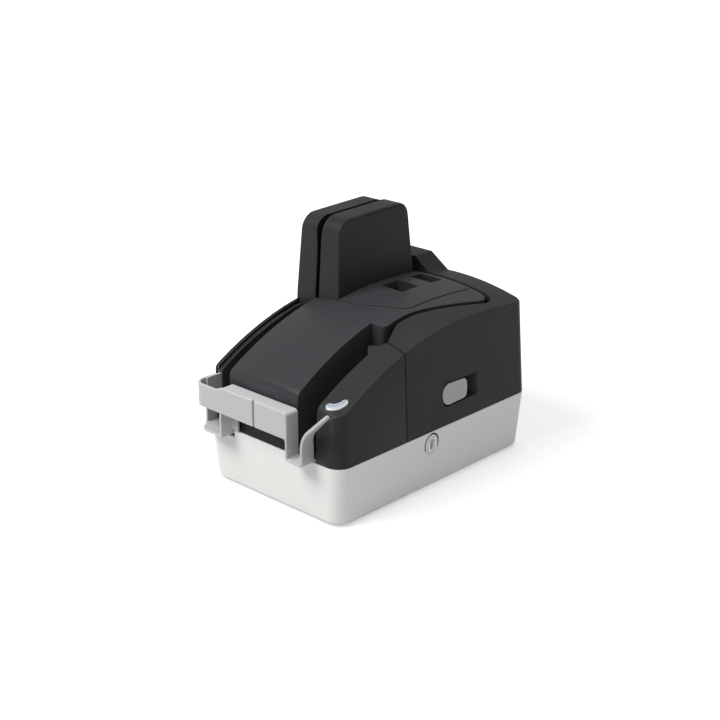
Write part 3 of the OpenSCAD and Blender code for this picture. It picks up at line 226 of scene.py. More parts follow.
PIT_SIZE = 1.9
FLOW_PER_METRE = 22.0
TOUCHED_PER_METRE = 34.0
# Near blacks for painted shade along the cover seam, on the island's front below the window and on
# the wing slot's lips.
SEAM_SHADE_FULL, SEAM_SHADE_END = 0.35, 0.75
IN_SHADE = tone(0.004)
PAINTED_SLOT_SHADE = tone(0.003)

COVER_SEAM_Y = machine(0.0, 70.7, 0.0).y
ISLAND_BAND = 1.6 * MM
ISLAND_FRONT_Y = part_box("island_cover")[0][1] + ISLAND_BAND
WINDOW_TOP_Z = machine(0.0, 0.0, 63.0).z
SLOT_MIDDLE_X = machine(-44.9, 0.0, 0.0).x
SLOT_HALF = 1.3 * MM
SLOT_LIP = 1.5 * MM
SLOT_LIP_FROM_Z = machine(0.0, 0.0, 164.0).z
SLOT_LIP_RISE = 16.0 * MM


def moulded(name, colour, darker, roughness, grain_mm=0.35, depth_mm=0.02, specular=0.5,
            highlight_gain=1.6, seam_at=None, shaded_below=None, slot_side=None):
    """Moulded plastic: spark-eroded grain, faint flow marks, handling gloss, painted highlights
    along outer edges.

    seam_at is the Y of a parting line with painted shade along it, shaded_below the Y and Z
    below which a front gets painted shade, and slot_side the X, half width and lower Z of a
    slot whose lips get painted shade.
    """
    f = Finish(name, Specular_IOR_Level=specular)
    grain = f.noise(1 / (grain_mm * MM), 2.0, 0.55)
    pits = f.cells(1 / (grain_mm * PIT_SIZE * MM))
    flow = f.noise(FLOW_PER_METRE, 3.0, 0.6)
    handled = f.ramp(f.noise(TOUCHED_PER_METRE, 4.0, 0.62), (0.42, 0.0), (0.72, 1.0))
    # Painted highlight: outer edges are lightened towards highlight_colour.
    edge = f.edges(0.53, 0.62)
    highlight_colour = tuple(min(1.0, c * highlight_gain) for c in colour[:3]) + (1,)
    skin = f.blend(edge * 0.55, f.blend(flow, darker, colour), highlight_colour)
    gloss = roughness + (grain - 0.5) * 0.10 - handled * 0.05 - edge * 0.06
    # Painted shade along the parting line at seam_at.
    if seam_at is not None:
        from_seam_mm = f.size_of(f.along("Y") - seam_at) / MM
        seam_shade = f.ramp(from_seam_mm, (SEAM_SHADE_FULL, 1.0), (SEAM_SHADE_END, 0.0))
        skin = f.blend(seam_shade * 0.85, skin, IN_SHADE)
    # Painted shade on the front below the window top.
    if shaded_below is not None:
        front, top = shaded_below
        skin = f.blend((f.along("Z") < top) * (f.along("Y") < front), skin, IN_SHADE)
    # Painted shade on the slot's lips: near black, rougher and metallic so they reflect almost
    # nothing.
    if slot_side is not None:
        middle, half, low = slot_side
        risen = (f.along("Z") - low) / SLOT_LIP_RISE
        lip = f.ramp(risen, (0.0, 0.0), (1.0, 1.0)) * SLOT_LIP
        lip_shade = f.size_of(f.along("X") - middle) < lip + half
        skin = f.blend(lip_shade, skin, PAINTED_SLOT_SHADE)
        gloss = gloss + lip_shade * 0.5
        f.set(Metallic=lip_shade)
    f.set(Base_Color=skin, Roughness=gloss,
          Normal=f.bump(grain * 0.7 + pits * 0.3, 0.55, depth_mm))
    return f.material


def gloss_liner():
    """Polished black plastic with fine lengthwise wiping marks and painted highlights on its step
    edges.
    """
    f = Finish("liner_black", Coat_Roughness=0.08, Specular_IOR_Level=0.5)
    wipes = f.noise(900.0, 4.0, 0.7, f.stretched((1.0, 0.12, 1.0)))
    black = f.blend(wipes, tone(0.009), tone(0.016))
    # Painted highlight: the step edges are lightened in the base colour.
    f.set(Base_Color=f.blend(f.edges(0.52, 0.585), black, tone(0.20, (1.0, 0.96, 0.90))),
          Coat_Weight=0.5, Roughness=0.24 + wipes * 0.12, Normal=f.bump(wipes, 0.15, 0.02))
    return f.material


def metal(name, colour, roughness, streak=(1.0, 1.0, 0.02), scale=2600.0):
    """Bare metal with fine streaks along one axis."""
    f = Finish(name, Metallic=1.0)
    streaks = f.noise(scale, 3.0, 0.6, f.stretched(streak))
    stain = f.noise(60.0, 4.0, 0.6)
    f.set(Base_Color=f.blend(stain, tone(colour[0] * 0.82), (*colour, 1)),
          Roughness=roughness + (streaks - 0.5) * 0.22 + stain * 0.05,
          Normal=f.bump(streaks, 0.25, 0.01))
    return f.material


def rubber_finish(name, level):
    """Soft rubber with a ground surface and a little dust."""
    f = Finish(name, Specular_IOR_Level=0.3)
    grind = f.noise(2400.0, 3.0, 0.7)
    dust = f.ramp(f.noise(160.0, 4.0, 0.6), (0.45, 0.0), (0.75, 1.0))
    f.set(Base_Color=f.blend(dust, tone(level), tone(level * 1.9)),
          Roughness=0.72 + dust * 0.12 + grind * 0.08, Normal=f.bump(grind, 0.6, 0.06))
    return f.material


LENS_CENTRE = machine(50.0, 18.0, 0.0)
LENS_INNER = 9.0 * MM
LENS_OUTER = 13.6 * MM


def lens_finish():
    """Frosted light lens, paler at both rims and darker along its middle, with a faint painted
    glow.
    """
    f = Finish("lens_frosted", Coat_Weight=0.5, Coat_Roughness=0.05, Emission_Strength=0.06)
    cloud = f.noise(420.0, 2.0, 0.5)
    flat = f.node("ShaderNodeVectorMath", {"operation": "MULTIPLY"},
                  {0: f.place(), 1: (1.0, 1.0, 0.0)})
    spoke = f.node("ShaderNodeVectorMath", {"operation": "DISTANCE"},
                   {0: flat, 1: (LENS_CENTRE.x, LENS_CENTRE.y, 0.0)}, output="Value")
    across = (spoke - LENS_INNER) / (LENS_OUTER - LENS_INNER)
    band = f.ramp(across, (0.0, (0.58, 0.62, 0.66)), (0.16, (0.34, 0.38, 0.43)),
                  (0.42, (0.14, 0.17, 0.21)), (0.58, (0.30, 0.34, 0.39)),
                  (0.84, (0.40, 0.44, 0.49)), (1.0, (0.66, 0.70, 0.74)))
    # The emission is a faint painted glow in the colours of the rim to middle bands.
    f.set(Base_Color=f.blend(cloud * 0.25, band, (0.60, 0.66, 0.72, 1)), Emission_Color=band,
          Roughness=0.20 + cloud * 0.12, Normal=f.bump(cloud, 0.2, 0.05))
    return f.material


def circuit_finish():
    """Green lacquer with copper runs under it."""
    f = Finish("board_green", Coat_Weight=0.5, Coat_Roughness=0.15)
    runs = f.node("ShaderNodeTexBrick", {"offset": 0.35, "squash": 0.6},
                  {"Vector": f.place(), "Scale": 90.0, "Mortar Size": 0.02,
                   "Color1": tone(0.0), "Color2": tone(0.0), "Mortar": tone(1.0)})
    f.set(Base_Color=f.blend(runs, (0.02, 0.11, 0.05, 1), (0.07, 0.26, 0.11, 1)),
          Roughness=0.35 + f.noise(500.0) * 0.12, Normal=f.bump(runs, 0.3, 0.03))
    return f.material


def glass_finish():
    """Clear scanning glass with a faint haze."""
    f = Finish("glass_clear", Transmission_Weight=0.85, IOR=1.5)
    haze = f.noise(90.0, 4.0, 0.6)
    f.set(Base_Color=f.blend(haze, (0.80, 0.88, 0.90, 1), (0.90, 0.95, 0.96, 1)),
          Roughness=0.03 + haze * 0.05, Normal=f.bump(haze, 0.05, 0.01))
    return f.material


WARM_CHARCOAL = (1.0, 1.0, 0.98)
COOL_GREY = (0.985, 1.0, 1.02)

FINISH = {
    "cover": moulded("cover_charcoal", tone(0.027, WARM_CHARCOAL), tone(0.023), 0.44,
                     specular=0.11, highlight_gain=2.6, seam_at=COVER_SEAM_Y),
    # A lighter, bluer copy of the charcoal: painted light and sky sheen on the island cover and
    # lid.
    "slope": moulded("charcoal_painted_lit", tone(0.040, (0.97, 0.98, 1.10)),
                     tone(0.035, (0.98, 0.99, 1.07)), 0.40, specular=0.14, highlight_gain=1.9,
                     shaded_below=(ISLAND_FRONT_Y, WINDOW_TOP_Z)),
    # Near black for painted shade: the latch paddle's side walls, the sheet in the wing slot and
    # the ring in the lock groove.
    "shade": moulded("painted_shade_black", tone(0.006), tone(0.004), 0.85, specular=0.05, highlight_gain=1.0),
    "wing": moulded("wing_charcoal", tone(0.024, WARM_CHARCOAL), tone(0.021, WARM_CHARCOAL), 0.44,
                    specular=0.13, highlight_gain=3.0,
                    slot_side=(SLOT_MIDDLE_X, SLOT_HALF, SLOT_LIP_FROM_Z)),
    "tray": moulded("tray_white", tone(0.81, (1.0, 0.995, 0.975)),
                    tone(0.775, (1.0, 0.99, 0.965)), 0.48, 0.4, 0.012, specular=0.3, highlight_gain=1.1),
    "guide": moulded("guide_grey", tone(0.475, COOL_GREY), tone(0.44, COOL_GREY), 0.38, 0.3, 0.010,
                     specular=0.4, highlight_gain=1.35),
    "latch": moulded("latch_grey", tone(0.40, (1.0, 1.0, 0.97)), tone(0.35, (1.0, 1.0, 0.96)),
                     0.42, 0.3, 0.012, highlight_gain=1.3),
    "liner": gloss_liner(),
    "dark": moulded("inner_black", tone(0.022), tone(0.016), 0.5, specular=0.3),
    "grey": moulded("pinch_white", tone(0.62, (1.0, 0.99, 0.95)),
                    tone(0.55, (1.0, 0.99, 0.94)), 0.4),
    "steel": metal("steel_brushed", (0.56, 0.57, 0.59), 0.30),
    "turned": metal("steel_turned", (0.60, 0.61, 0.63), 0.20, (0.05, 0.05, 1.0), 3000.0),
    "bronze": metal("bronze_sintered", (0.55, 0.38, 0.18), 0.42, (1.0, 1.0, 1.0), 1800.0),
    "rubber": rubber_finish("rubber_black", 0.020),
    "tyre": rubber_finish("tyre_grey", 0.045),
    "pad": rubber_finish("pad_brown", 0.11),
    "lens": lens_finish(),
    "board": circuit_finish(),
    "glass": glass_finish(),
}


# Mesh making

def new_object(name, mesh, finish, body, replaced=()):
    """A visible piece with its finish or finishes, on its body."""
    made = bpy.data.objects.new(name, mesh)
    scene.collection.objects.link(made)
    for key in ([finish] if isinstance(finish, str) else finish):
        made.data.materials.append(FINISH[key])
    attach(made, body)
    if replaced:
        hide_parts(*replaced)
    return made


def mesh_from(bm, name):
    """Turns the worked mesh into a finished one and lets go of it."""
    mesh = bpy.data.meshes.new(name)
    bm.to_mesh(mesh)
    bm.free()
    return mesh


surface_trees = {}


def tree_of(node):
    """Search tree over one node's surface."""
    if node not in surface_trees:
        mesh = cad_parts[node].data
        surface_trees[node] = BVHTree.FromPolygons([v.co for v in mesh.vertices],
                                                   [tuple(f.vertices) for f in mesh.polygons])
    return surface_trees[node]


SHARP = math.radians(26.0)
FOLLOWS_ON = -0.8
SEAM_REACH = 1.3 * MM


def sharp_chains(bm):
    """Runs of sharp edges that follow on from each other."""
    sharp = {e for e in bm.edges if len(e.link_faces) == 2 and e.calc_face_angle(0) > SHARP}
    left = set(sharp)
    chains = []
    while left:
        run = [left.pop()]
        for edge in run:
            for vert in edge.verts:
                back = (edge.other_vert(vert).co - vert.co).normalized()
                for other in vert.link_edges:
                    if other not in left:
                        continue
                    ahead = (other.other_vert(vert).co - vert.co).normalized()
                    if back.dot(ahead) < FOLLOWS_ON:
                        left.discard(other)
                        run.append(other)
        chains.append(run)
    return chains


def beside_a_seam(run, node):
    """True where most of a run lies close to another piece."""
    near = 0
    for edge in run:
        middle = (edge.verts[0].co + edge.verts[1].co) / 2
        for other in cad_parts:
            if other != node and tree_of(other).find_nearest(middle, SEAM_REACH)[0] is not None:
                near += 1
                break
    return near > 0.5 * len(run)


SAME_TURN = 0.55


def settle_normals(mesh):
    """Keeps wide faces flat and lets the narrow roundings between them turn the light."""
    bm = bmesh.new()
    bm.from_mesh(mesh)
    normals = []
    for face in bm.faces:
        for loop in face.loops:
            total = Vector()
            for near in loop.vert.link_faces:
                if near.normal.dot(face.normal) > SAME_TURN:
                    total += near.normal * near.calc_area()
            normals.append(total.normalized() if total.length > 0 else face.normal.copy())
    bm.free()
    mesh.normals_split_custom_set(normals)


MARK_STEP = 0.5


def marks_of(bm, weight):
    """Search trees over the corners, and over points spaced along the edges to be rounded."""
    corners = KDTree(len(bm.verts))
    for i, vert in enumerate(bm.verts):
        corners.insert(vert.co, i)
    points = []
    for edge in bm.edges:
        if edge[weight] > 0:
            a, b = (v.co for v in edge.verts)
            count = max(1, math.ceil((b - a).length / (MARK_STEP * MM)))
            points += [a.lerp(b, i / count) for i in range(count + 1)]
    edge_marks = KDTree(len(points))
    for i, point in enumerate(points):
        edge_marks.insert(point, i)
    corners.balance()
    edge_marks.balance()
    return corners, edge_marks


WELD = 0.00002
FLAT = math.radians(0.4)
SHORT_EDGE = 5
STRAY_FROM_SOLID = 0.62
SAME_CORNER = 0.0001 * MM
STRAY_FROM_EDGE = 2.2
SEAM_RADIUS = 0.3
ROUNDING_STEPS = 3


def softened(node, name, finish, body, radius):
    """A moulded piece: the solid's shape with its sharp edges rounded as a mould leaves them.

    radius, in millimetres, is that of open outer edges. Edges beside another piece, inner
    corners and short edges get SEAM_RADIUS.
    """
    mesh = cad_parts[node].data.copy()
    mesh.materials.clear()
    for layer in ("custom_normal", "sharp_edge", "sharp_face"):
        if layer in mesh.attributes:
            mesh.attributes.remove(mesh.attributes[layer])
    bm = bmesh.new()
    bm.from_mesh(mesh)
    bmesh.ops.remove_doubles(bm, verts=bm.verts, dist=WELD)
    bmesh.ops.dissolve_limit(bm, angle_limit=FLAT, verts=bm.verts, edges=bm.edges)
    weight = bm.edges.layers.float.new("bevel_weight_edge")
    widest = max(radius, SEAM_RADIUS)
    for run in sharp_chains(bm):
        length = sum(e.calc_length() for e in run)
        convex = sum(e.is_convex for e in run) > 0.5 * len(run)
        is_open = convex and length > SHORT_EDGE * radius * MM and not beside_a_seam(run, node)
        for edge in run:
            edge[weight] = (radius if is_open else SEAM_RADIUS) / widest
    corners, edge_marks = marks_of(bm, weight)
    bm.to_mesh(mesh)
    bm.free()
    made = new_object(name, mesh, finish, body, (node,))
    rounding = made.modifiers.new("rounding", "BEVEL")
    rounding.limit_method = "WEIGHT"
    rounding.width = widest * MM
    rounding.segments = ROUNDING_STEPS
    rounding.use_clamp_overlap = False
    rounding.loop_slide = False
    bpy.context.view_layer.update()
    shaped = made.evaluated_get(bpy.context.evaluated_depsgraph_get())
    rounded_mesh = bpy.data.meshes.new_from_object(shaped)
    made.modifiers.clear()
    made.data = rounded_mesh
    solid = tree_of(node)
    for vert in rounded_mesh.vertices:
        spot, _, _, away = solid.find_nearest(vert.co)
        if away > STRAY_FROM_SOLID * widest * MM:
            vert.co = spot
        elif corners.find(vert.co)[2] > SAME_CORNER:
            mark, _, away = edge_marks.find(vert.co)
            if away > (STRAY_FROM_EDGE * widest + MARK_STEP / 2) * MM:
                vert.co = mark
    bm = bmesh.new()
    bm.from_mesh(rounded_mesh)
    bmesh.ops.triangulate(bm, faces=[f for f in bm.faces if len(f.verts) > 4])
    bm.to_mesh(rounded_mesh)
    bm.free()
    rounded_mesh.polygons.foreach_set("use_smooth", [True] * len(rounded_mesh.polygons))
    settle_normals(rounded_mesh)
    return made


def repaint(made, finish, chosen):
    """Gives the chosen faces of a piece a second finish."""
    made.data.materials.append(FINISH[finish])
    for face in made.data.polygons:
        if chosen(face):
            face.material_index = len(made.data.materials) - 1


SHELLS = [
    ("base_tray", "tray_moulding", "tray", "base", "tray_white", 0.8),
    ("island_cover", "island_moulding", "slope", "base", "charcoal_cover", 0.6),
    ("cartridge_cover", "lid_moulding", "slope", "cartridge_cover", "charcoal_cover", 0.4),
    ("inner_wing", "inner_wing_moulding", "wing", "base", "charcoal_cover", 1.1),
    ("outer_wing", "outer_wing_moulding", "wing", "base", "charcoal_cover", 1.1),
    ("left_cover", "left_moulding", "wing", "base", "charcoal_cover", 0.5),
    ("feed_cover", "feed_moulding", "cover", "base", "charcoal_cover", 0.6),
    ("jam_cover", "jam_moulding", "cover", "jam_cover", "charcoal_cover", 0.7),
    ("exit_liner", "liner_moulding", "liner", "base", "black_liner", 0.25),
    ("front_guide", "guide_moulding", "guide", "base", "guide_grey", 0.9),
    ("pocket_extension", "extension_moulding", "guide", "pocket_extension", "guide_grey", 0.8),
    ("latch_paddle", "paddle_moulding", "latch", "latch_paddle", "latch_grey", 0.7),
    ("rubber_feet", "feet_moulding", "rubber", "base", "rubber", 0.3),
    ("path_deck", "deck_moulding", "dark", "base", "black_plastic", 0.3),
    ("power_rocker", "rocker_moulding", "dark", "power_rocker", "black_plastic", 0.3),
    ("switch_frame", "switch_frame_moulding", "dark", "base", "black_plastic", 0.3),
    ("power_inlet", "inlet_moulding", "dark", "base", "black_plastic", 0.2),
    ("print_cartridge", "cartridge_moulding", "dark", "base", "black_plastic", 0.5),
    ("cartridge_carrier", "carrier_moulding", "dark", "base", "black_plastic", 0.4),
    ("separation_pad", "pad_moulding", "pad", "base", "cork", 0.3),
]
shell = {}
for node, name, finish, body, slot, radius in SHELLS:
    shell[node] = softened(node, name, finish, body, radius)
# Painted shade on the latch paddle's side walls, a dark line round the paddle.
SIDE_WALL = 0.30
repaint(shell["latch_paddle"], "shade", lambda face: abs(face.normal.x) < SIDE_WALL)


# Rollers

TURN_STEPS = 56
SHAFT_TOP = 2.6 * MM
TYRE_LEAST = 12.0 * MM
UPRIGHT = 0.1
TOUCH = 1e-6
SHAFT, TYRE, PULLEY = 0, 1, 2
TYRE_SHOULDER, OTHER_SHOULDER = 0.7 * MM, 0.25 * MM
SHOULDER_SHARE = 0.3
SHOULDER_DEGREES = (0, 30, 60, 90)
GROOVES = 8
GROOVE = ((0.0, -0.42 * MM), (0.28 * MM, -0.20 * MM), (0.28 * MM, 0.20 * MM), (0.0, 0.42 * MM))


def sections_of(node):
    """Centre line of a turned node, and its straight sections as (radius, low, high)."""
    low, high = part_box(node)
    centre = Vector(((low[0] + high[0]) / 2, (low[1] + high[1]) / 2, 0))
    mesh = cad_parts[node].data
    walls = {}
    levels = set()
    for face in mesh.polygons:
        if abs(face.normal.z) < UPRIGHT:
            corners = [mesh.vertices[i].co for i in face.vertices]
            radius = max((Vector((c.x, c.y, 0)) - centre).length for c in corners)
            ends = (round(min(c.z for c in corners), 5), round(max(c.z for c in corners), 5))
            walls[ends] = max(walls.get(ends, 0), radius)
            levels.update(ends)
    levels = sorted(levels)
    sections = []
    for bottom, top in zip(levels, levels[1:]):
        if top - bottom > WELD:
            radius = max([r for (a, b), r in walls.items()
                          if a <= bottom + TOUCH and b >= top - TOUCH], default=0)
            if radius:
                sections.append((radius, bottom, top))
    return centre, sections


def roller_outline(sections):
    """Radius, height and finish down the side of a roller, with shoulders and tyre grooves."""
    outline = [(0.0, sections[0][1], SHAFT)]
    for radius, bottom, top in sections:
        tall = top - bottom
        part = SHAFT if radius < SHAFT_TOP else TYRE if tall > TYRE_LEAST else PULLEY
        shoulder = min(TYRE_SHOULDER if part == TYRE else OTHER_SHOULDER, tall * SHOULDER_SHARE)
        core = radius - shoulder
        for degrees in reversed(SHOULDER_DEGREES):
            angle = math.radians(degrees)
            outline.append((core + shoulder * math.cos(angle),
                            bottom + shoulder - shoulder * math.sin(angle), part))
        if part == TYRE:
            for i in range(GROOVES):
                at = bottom + (i + 1) * tall / (GROOVES + 1)
                outline += [(radius - drop, at + shift, part) for drop, shift in GROOVE]
        for degrees in SHOULDER_DEGREES:
            angle = math.radians(degrees)
            outline.append((core + shoulder * math.cos(angle),
                            top - shoulder + shoulder * math.sin(angle), part))
    outline.append((0.0, sections[-1][2], SHAFT))
    return outline


def turned(node, name, body, finishes):
    """A roller as it leaves the lathe: bevelled shaft, grooved tyres, clean pulley flanges."""
    centre, sections = sections_of(node)
    outline = roller_outline(sections)
    bm = bmesh.new()
    rings = []
    for radius, z, _ in outline:
        angles = [i * math.tau / TURN_STEPS for i in range(TURN_STEPS)] if radius else [0.0]
        rings.append([bm.verts.new((centre.x + radius * math.cos(angle),
                                    centre.y + radius * math.sin(angle), z)) for angle in angles])
    for row, (below, above) in enumerate(zip(rings, rings[1:])):
        part = max(outline[row][2], outline[row + 1][2])
        for i in range(TURN_STEPS):
            j = (i + 1) % TURN_STEPS
            if len(below) == 1:
                face = bm.faces.new((below[0], above[j], above[i]))
            elif len(above) == 1:
                face = bm.faces.new((below[i], below[j], above[0]))
            else:
                face = bm.faces.new((below[i], below[j], above[j], above[i]))
            face.material_index = part
            face.smooth = True
    bmesh.ops.recalc_face_normals(bm, faces=bm.faces)
    mesh = mesh_from(bm, name)
    new_object(name, mesh, finishes, body, (node,))
    settle_normals(mesh)


for driven in ("pick_roller", "feed_roller", "turn_roller", "rear_roller", "exit_roller"):
    turned(driven, driven + "_turned", driven, ("turned", "tyre", "grey"))
for pinch in ("retard_roller", "turn_pinch_roller", "rear_pinch_roller", "exit_pinch_roller"):
    turned(pinch, pinch + "_turned", pinch, ("turned", "grey", "grey"))


# Small pieces

DOWN = Vector((0, 0, -1))
REARWARD = Vector((0, 1, 0))
FORWARD = Vector((0, -1, 0))
INWARD = Vector((-1, 0, 0))
ABOVE = 0.01
LENS_FROM, LENS_TO = math.radians(-72.0), math.radians(-14.0)
LENS_ALONG, LENS_ACROSS = 36, 10
LENS_TIP = 0.12
LENS_PLAY = 0.985
LENS_DOME = 0.55 * MM
LENS_FOOT = 0.3 * MM


def lens_piece():
    """The curved light lens, domed across and rounded off at both ends."""
    solid = tree_of("status_lens")
    low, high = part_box("status_lens")
    middle, half = (LENS_INNER + LENS_OUTER) / 2, (LENS_OUTER - LENS_INNER) / 2
    reach = half / middle
    bm = bmesh.new()
    top, bottom = [], []
    for i in range(LENS_ALONG + 1):
        share = 0.5 - 0.5 * math.cos(math.pi * i / LENS_ALONG)
        angle = LENS_FROM - reach + (LENS_TO - LENS_FROM + 2 * reach) * share
        past = max(LENS_FROM - angle, angle - LENS_TO, 0.0) * middle
        width = math.sqrt(max(half * half - past * past, (LENS_TIP * half) ** 2))
        row_top, row_bottom = [], []
        for j in range(LENS_ACROSS + 1):
            side = -1 + 2 * j / LENS_ACROSS
            radius = middle + side * width * LENS_PLAY
            x = LENS_CENTRE.x + radius * math.cos(angle)
            y = LENS_CENTRE.y + radius * math.sin(angle)
            hit = solid.ray_cast(Vector((x, y, high[2] + ABOVE)), DOWN)[0]
            skin = hit.z if hit else solid.find_nearest(Vector((x, y, high[2])))[0].z
            edge = max(abs(side), 1 - width / half)
            row_top.append(bm.verts.new((x, y, skin - LENS_DOME * edge ** 4)))
            row_bottom.append(bm.verts.new((x, y, low[2] + LENS_FOOT)))
        top.append(row_top)
        bottom.append(row_bottom)
    for rows in (top, bottom):
        for a, b in zip(rows, rows[1:]):
            for j in range(LENS_ACROSS):
                bm.faces.new((a[j], b[j], b[j + 1], a[j + 1]))
    for a, b, c, d in zip(top, top[1:], bottom, bottom[1:]):
        for j in (0, LENS_ACROSS):
            bm.faces.new((a[j], b[j], d[j], c[j]))
    for a, b in ((top[0], bottom[0]), (top[-1], bottom[-1])):
        for j in range(LENS_ACROSS):
            bm.faces.new((a[j], a[j + 1], b[j + 1], b[j]))
    bmesh.ops.recalc_face_normals(bm, faces=bm.faces)
    for face in bm.faces:
        face.smooth = True
    mesh = mesh_from(bm, "lens_domed")
    new_object("lens_domed", mesh, "lens", "base", ("status_lens",))
    settle_normals(mesh)


lens_piece()

SLOT_FACE_X = -46.0
SHADE_SHEET_PROBE = 2.2
SHADE_SHEET_FLOOR_Z = 96.0
SHADE_SHEET_STEPS = 60
SHADE_SHEET_THICK = 0.45 * MM
SHADE_SHEET_ROOT = 0.05 * MM
SHADE_SHEET_DROP = 0.35 * MM
SHADE_SHEET_TOP = 1.2 * MM
BESIDE = 0.02


def shade_sheet_in_slot():
    """A thin black sheet of painted shade on the outer half's side of the slot, just under its
    upper edge.
    """
    solid = tree_of("outer_wing")
    low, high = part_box("outer_wing")
    probe_x = machine(SLOT_FACE_X - SHADE_SHEET_PROBE, 0, 0).x
    face_x = machine(SLOT_FACE_X, 0, 0).x
    floor = machine(0, 0, SHADE_SHEET_FLOOR_Z).z
    ceiling = high[2] - SHADE_SHEET_TOP
    front_y, rear_y = low[1] - BESIDE, high[1] + BESIDE
    levels = [floor + (ceiling - floor) * i / SHADE_SHEET_STEPS for i in range(SHADE_SHEET_STEPS + 1)]

    def front_edge(z):
        return solid.ray_cast(Vector((probe_x, front_y, z)), REARWARD)[0].y + SHADE_SHEET_DROP

    def rear_edge(z):
        return solid.ray_cast(Vector((probe_x, rear_y, z)), FORWARD)[0].y - SHADE_SHEET_DROP

    def top_edge(y):
        return solid.ray_cast(Vector((probe_x, y, high[2] + BESIDE)), DOWN)[0].z - SHADE_SHEET_DROP

    first, last = front_edge(ceiling), rear_edge(ceiling)
    across = [first + (last - first) * i / SHADE_SHEET_STEPS for i in range(1, SHADE_SHEET_STEPS)]
    outline = [(front_edge(z), z) for z in levels]
    outline += [(y, top_edge(y)) for y in across]
    outline += [(rear_edge(z), z) for z in reversed(levels)]
    bm = bmesh.new()
    near = [bm.verts.new((face_x + SHADE_SHEET_THICK, y, z)) for y, z in outline]
    far = [bm.verts.new((face_x - SHADE_SHEET_ROOT, y, z)) for y, z in outline]
    bm.faces.new(near)
    bm.faces.new(list(reversed(far)))
    for i in range(len(outline)):
        j = (i + 1) % len(outline)
        bm.faces.new((near[j], near[i], far[i], far[j]))
    bmesh.ops.recalc_face_normals(bm, faces=bm.faces)
    bmesh.ops.triangulate(bm, faces=[f for f in bm.faces if len(f.verts) > 4])
    new_object("shade_sheet_in_slot", mesh_from(bm, "shade_sheet_in_slot"), "shade", "base")


shade_sheet_in_slot()

RIB = ((-0.5, 0.0), (-0.5, 0.55), (-0.32, 0.88), (0.0, 1.0), (0.32, 0.88), (0.5, 0.55), (0.5, 0.0))


def swept(name, path, width_mm, height_mm, finish, up, closed):
    """A low rib on the base with a rounded top, along a path; up is the way that it stands."""
    bm = bmesh.new()
    rings = []
    count = len(path)
    for i, point in enumerate(path):
        before = path[i - 1] if i or closed else path[i]
        after = path[(i + 1) % count] if i + 1 < count or closed else path[i]
        side = (after - before).cross(up).normalized()
        rings.append([bm.verts.new(point + side * (u * width_mm * MM) + up * (v * height_mm * MM))
                      for u, v in RIB])
    for i in range(count if closed else count - 1):
        a, b = rings[i], rings[(i + 1) % count]
        for j in range(len(RIB)):
            k = (j + 1) % len(RIB)
            bm.faces.new((a[j], a[k], b[k], b[j]))
    if not closed:
        bm.faces.new(rings[0])
        bm.faces.new(list(reversed(rings[-1])))
    bmesh.ops.recalc_face_normals(bm, faces=bm.faces)
    for face in bm.faces:
        face.smooth = True
    mesh = mesh_from(bm, name)
    new_object(name, mesh, finish, "base")
    settle_normals(mesh)


TRAY_LEAN = math.atan2(0.0658, 0.9978)
LOCK_Y, LOCK_Z = 98.7, 35.5
PLAIN_WALL_Y = LOCK_Y + 12.0
OUTSIDE_X = 90.0
RING_HALF_ACROSS, RING_HALF_UP, RING_PROUD = 7.2, 8.0, -0.75
RING_WIDTH, RING_HEIGHT = 1.05, 0.25
RING_POINTS = 72
ARCH_HALF_ACROSS, ARCH_RISE, ARCH_PROUD = 3.3, 3.9, -0.3
ARCH_WIDTH, ARCH_HEIGHT = 1.3, 1.15
ARCH_FOOT, ARCH_SPRING, ARCH_LAST_LEG = -4.6, 0.9, 0.2
LEG_STEP, LEG_POINTS, BOW_STEPS = 0.8, 7, 20


def lock_place(across_mm, up_mm, proud_mm):
    """A place over the tray's right side, measured from the middle of the security slot."""
    start = machine(OUTSIDE_X, PLAIN_WALL_Y, LOCK_Z + up_mm)
    wall = tree_of("base_tray").ray_cast(start, INWARD)[0]
    spot = machine(0.0, LOCK_Y + across_mm, LOCK_Z + up_mm)
    return Vector((wall.x + proud_mm * MM, spot.y, spot.z))


def lock_shade_ring_and_arch():
    """A near black ring of painted shade in the groove round the security slot, and the polished
    arch inside it.
    """
    outward = Vector((math.cos(TRAY_LEAN), 0, -math.sin(TRAY_LEAN)))
    ring = []
    for i in range(RING_POINTS):
        angle = i * math.tau / RING_POINTS
        ring.append(lock_place(RING_HALF_ACROSS * math.cos(angle), RING_HALF_UP * math.sin(angle),
                               RING_PROUD))
    # The ring is painted shade laid in the groove.
    swept("lock_ring_painted_shade", ring, RING_WIDTH, RING_HEIGHT, "shade", outward, True)
    arch = [lock_place(ARCH_HALF_ACROSS, ARCH_FOOT + i * LEG_STEP, ARCH_PROUD)
            for i in range(LEG_POINTS)]
    for i in range(1, BOW_STEPS):
        angle = math.pi * i / BOW_STEPS
        arch.append(lock_place(ARCH_HALF_ACROSS * math.cos(angle),
                               ARCH_SPRING + ARCH_RISE * math.sin(angle), ARCH_PROUD))
    arch += [lock_place(-ARCH_HALF_ACROSS, ARCH_LAST_LEG - i * LEG_STEP, ARCH_PROUD)
             for i in range(LEG_POINTS)]
    swept("lock_arch", arch, ARCH_WIDTH, ARCH_HEIGHT, "turned", outward, False)


lock_shade_ring_and_arch()


# Finishes of the nodes that show as they are

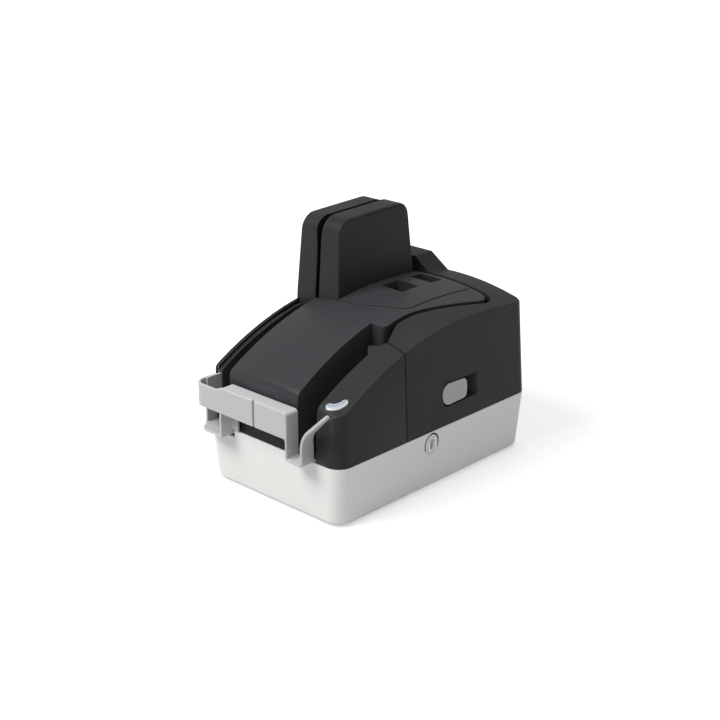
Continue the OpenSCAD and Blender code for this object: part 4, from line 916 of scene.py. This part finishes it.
NODE_FINISH = {
    "steel": ["base_screws", "usb_port", "drive_motor", "shaft_plate", "plate_posts",
              "exit_pinch_spring", "micr_head", "latch_spring", "latch_keeper"],
    "turned": ["hinge_pin"],
    "bronze": ["shaft_bushes"],
    "board": ["main_board", "status_board"],
    "glass": ["inner_sensor_glass", "outer_sensor_glass"],
    "dark": ["inner_sensor", "outer_sensor", "pinch_brackets", "latch_pin"],
    "grey": ["motor_pulley"],
    "rubber": ["timing_belt"],
}
for finish, nodes in NODE_FINISH.items():
    for node in nodes:
        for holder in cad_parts[node].material_slots:
            holder.material = FINISH[finish]


# Studio

FLOOR_HALF = 30.0
FLOOR_LEVEL = 0.55
FLOOR_NEAR, NEAR_UNTIL = 0.50, 0.08
FLOOR_FAR, FAR_FROM = 0.85, 0.6
WORLD_LEVEL = 0.42


def background_rays(f):
    """One for the rays that show the background itself, directly or in gloss and glass."""
    return (f.node("ShaderNodeLightPath", output="Is Camera Ray")
            + f.node("ShaderNodeLightPath", output="Is Glossy Ray")
            + f.node("ShaderNodeLightPath", output="Is Transmission Ray"))


def add_floor():
    """Pale floor that keeps the shadow near the machine and runs out to white behind it."""
    mesh = bpy.data.meshes.new("studio_floor")
    corners = [(x, y, 0) for x, y in ((-FLOOR_HALF, -FLOOR_HALF), (FLOOR_HALF, -FLOOR_HALF),
                                      (FLOOR_HALF, FLOOR_HALF), (-FLOOR_HALF, FLOOR_HALF))]
    mesh.from_pydata(corners, [], [(0, 1, 2, 3)])
    floor = bpy.data.objects.new("studio_floor", mesh)
    scene.collection.objects.link(floor)
    f = Finish("floor_white", Roughness=0.9, Specular_IOR_Level=0.1, Emission_Strength=1.0)
    away = f.node("ShaderNodeVectorMath", {"operation": "LENGTH"}, {0: f.place()}, output="Value")
    lift = f.ramp(away * 0.5, (NEAR_UNTIL, FLOOR_NEAR), (FAR_FROM, FLOOR_FAR))
    f.set(Base_Color=tone(FLOOR_LEVEL),
          Emission_Color=f.blend(background_rays(f), tone(0.0), lift))
    floor.data.materials.append(f.material)


def add_world():
    """Even light from all round."""
    world = bpy.data.worlds.new("studio_world")
    scene.world = world
    world.use_nodes = True
    background = world.node_tree.nodes["Background"]
    background.inputs["Color"].default_value = tone(1.0)
    background.inputs["Strength"].default_value = WORLD_LEVEL


def add_lamp(name, place, target, size, watts):
    """A soft rectangular lamp turned to a target."""
    data = bpy.data.lights.new(name, "AREA")
    data.shape = "RECTANGLE"
    data.size, data.size_y = size
    data.energy = watts
    lamp = bpy.data.objects.new(name, data)
    lamp.location = place
    lamp.rotation_euler = (Vector(target) - Vector(place)).to_track_quat("-Z", "Y").to_euler()
    scene.collection.objects.link(lamp)


add_floor()
add_world()
add_lamp("key_front", place=(-0.45, -1.22, 1.55), target=(0, 0, 0.08), size=(1.1, 0.8), watts=33)
add_lamp("top_soft", place=(0.1, 0.3, 1.95), target=(0, 0, 0.1), size=(1.6, 1.6), watts=14)
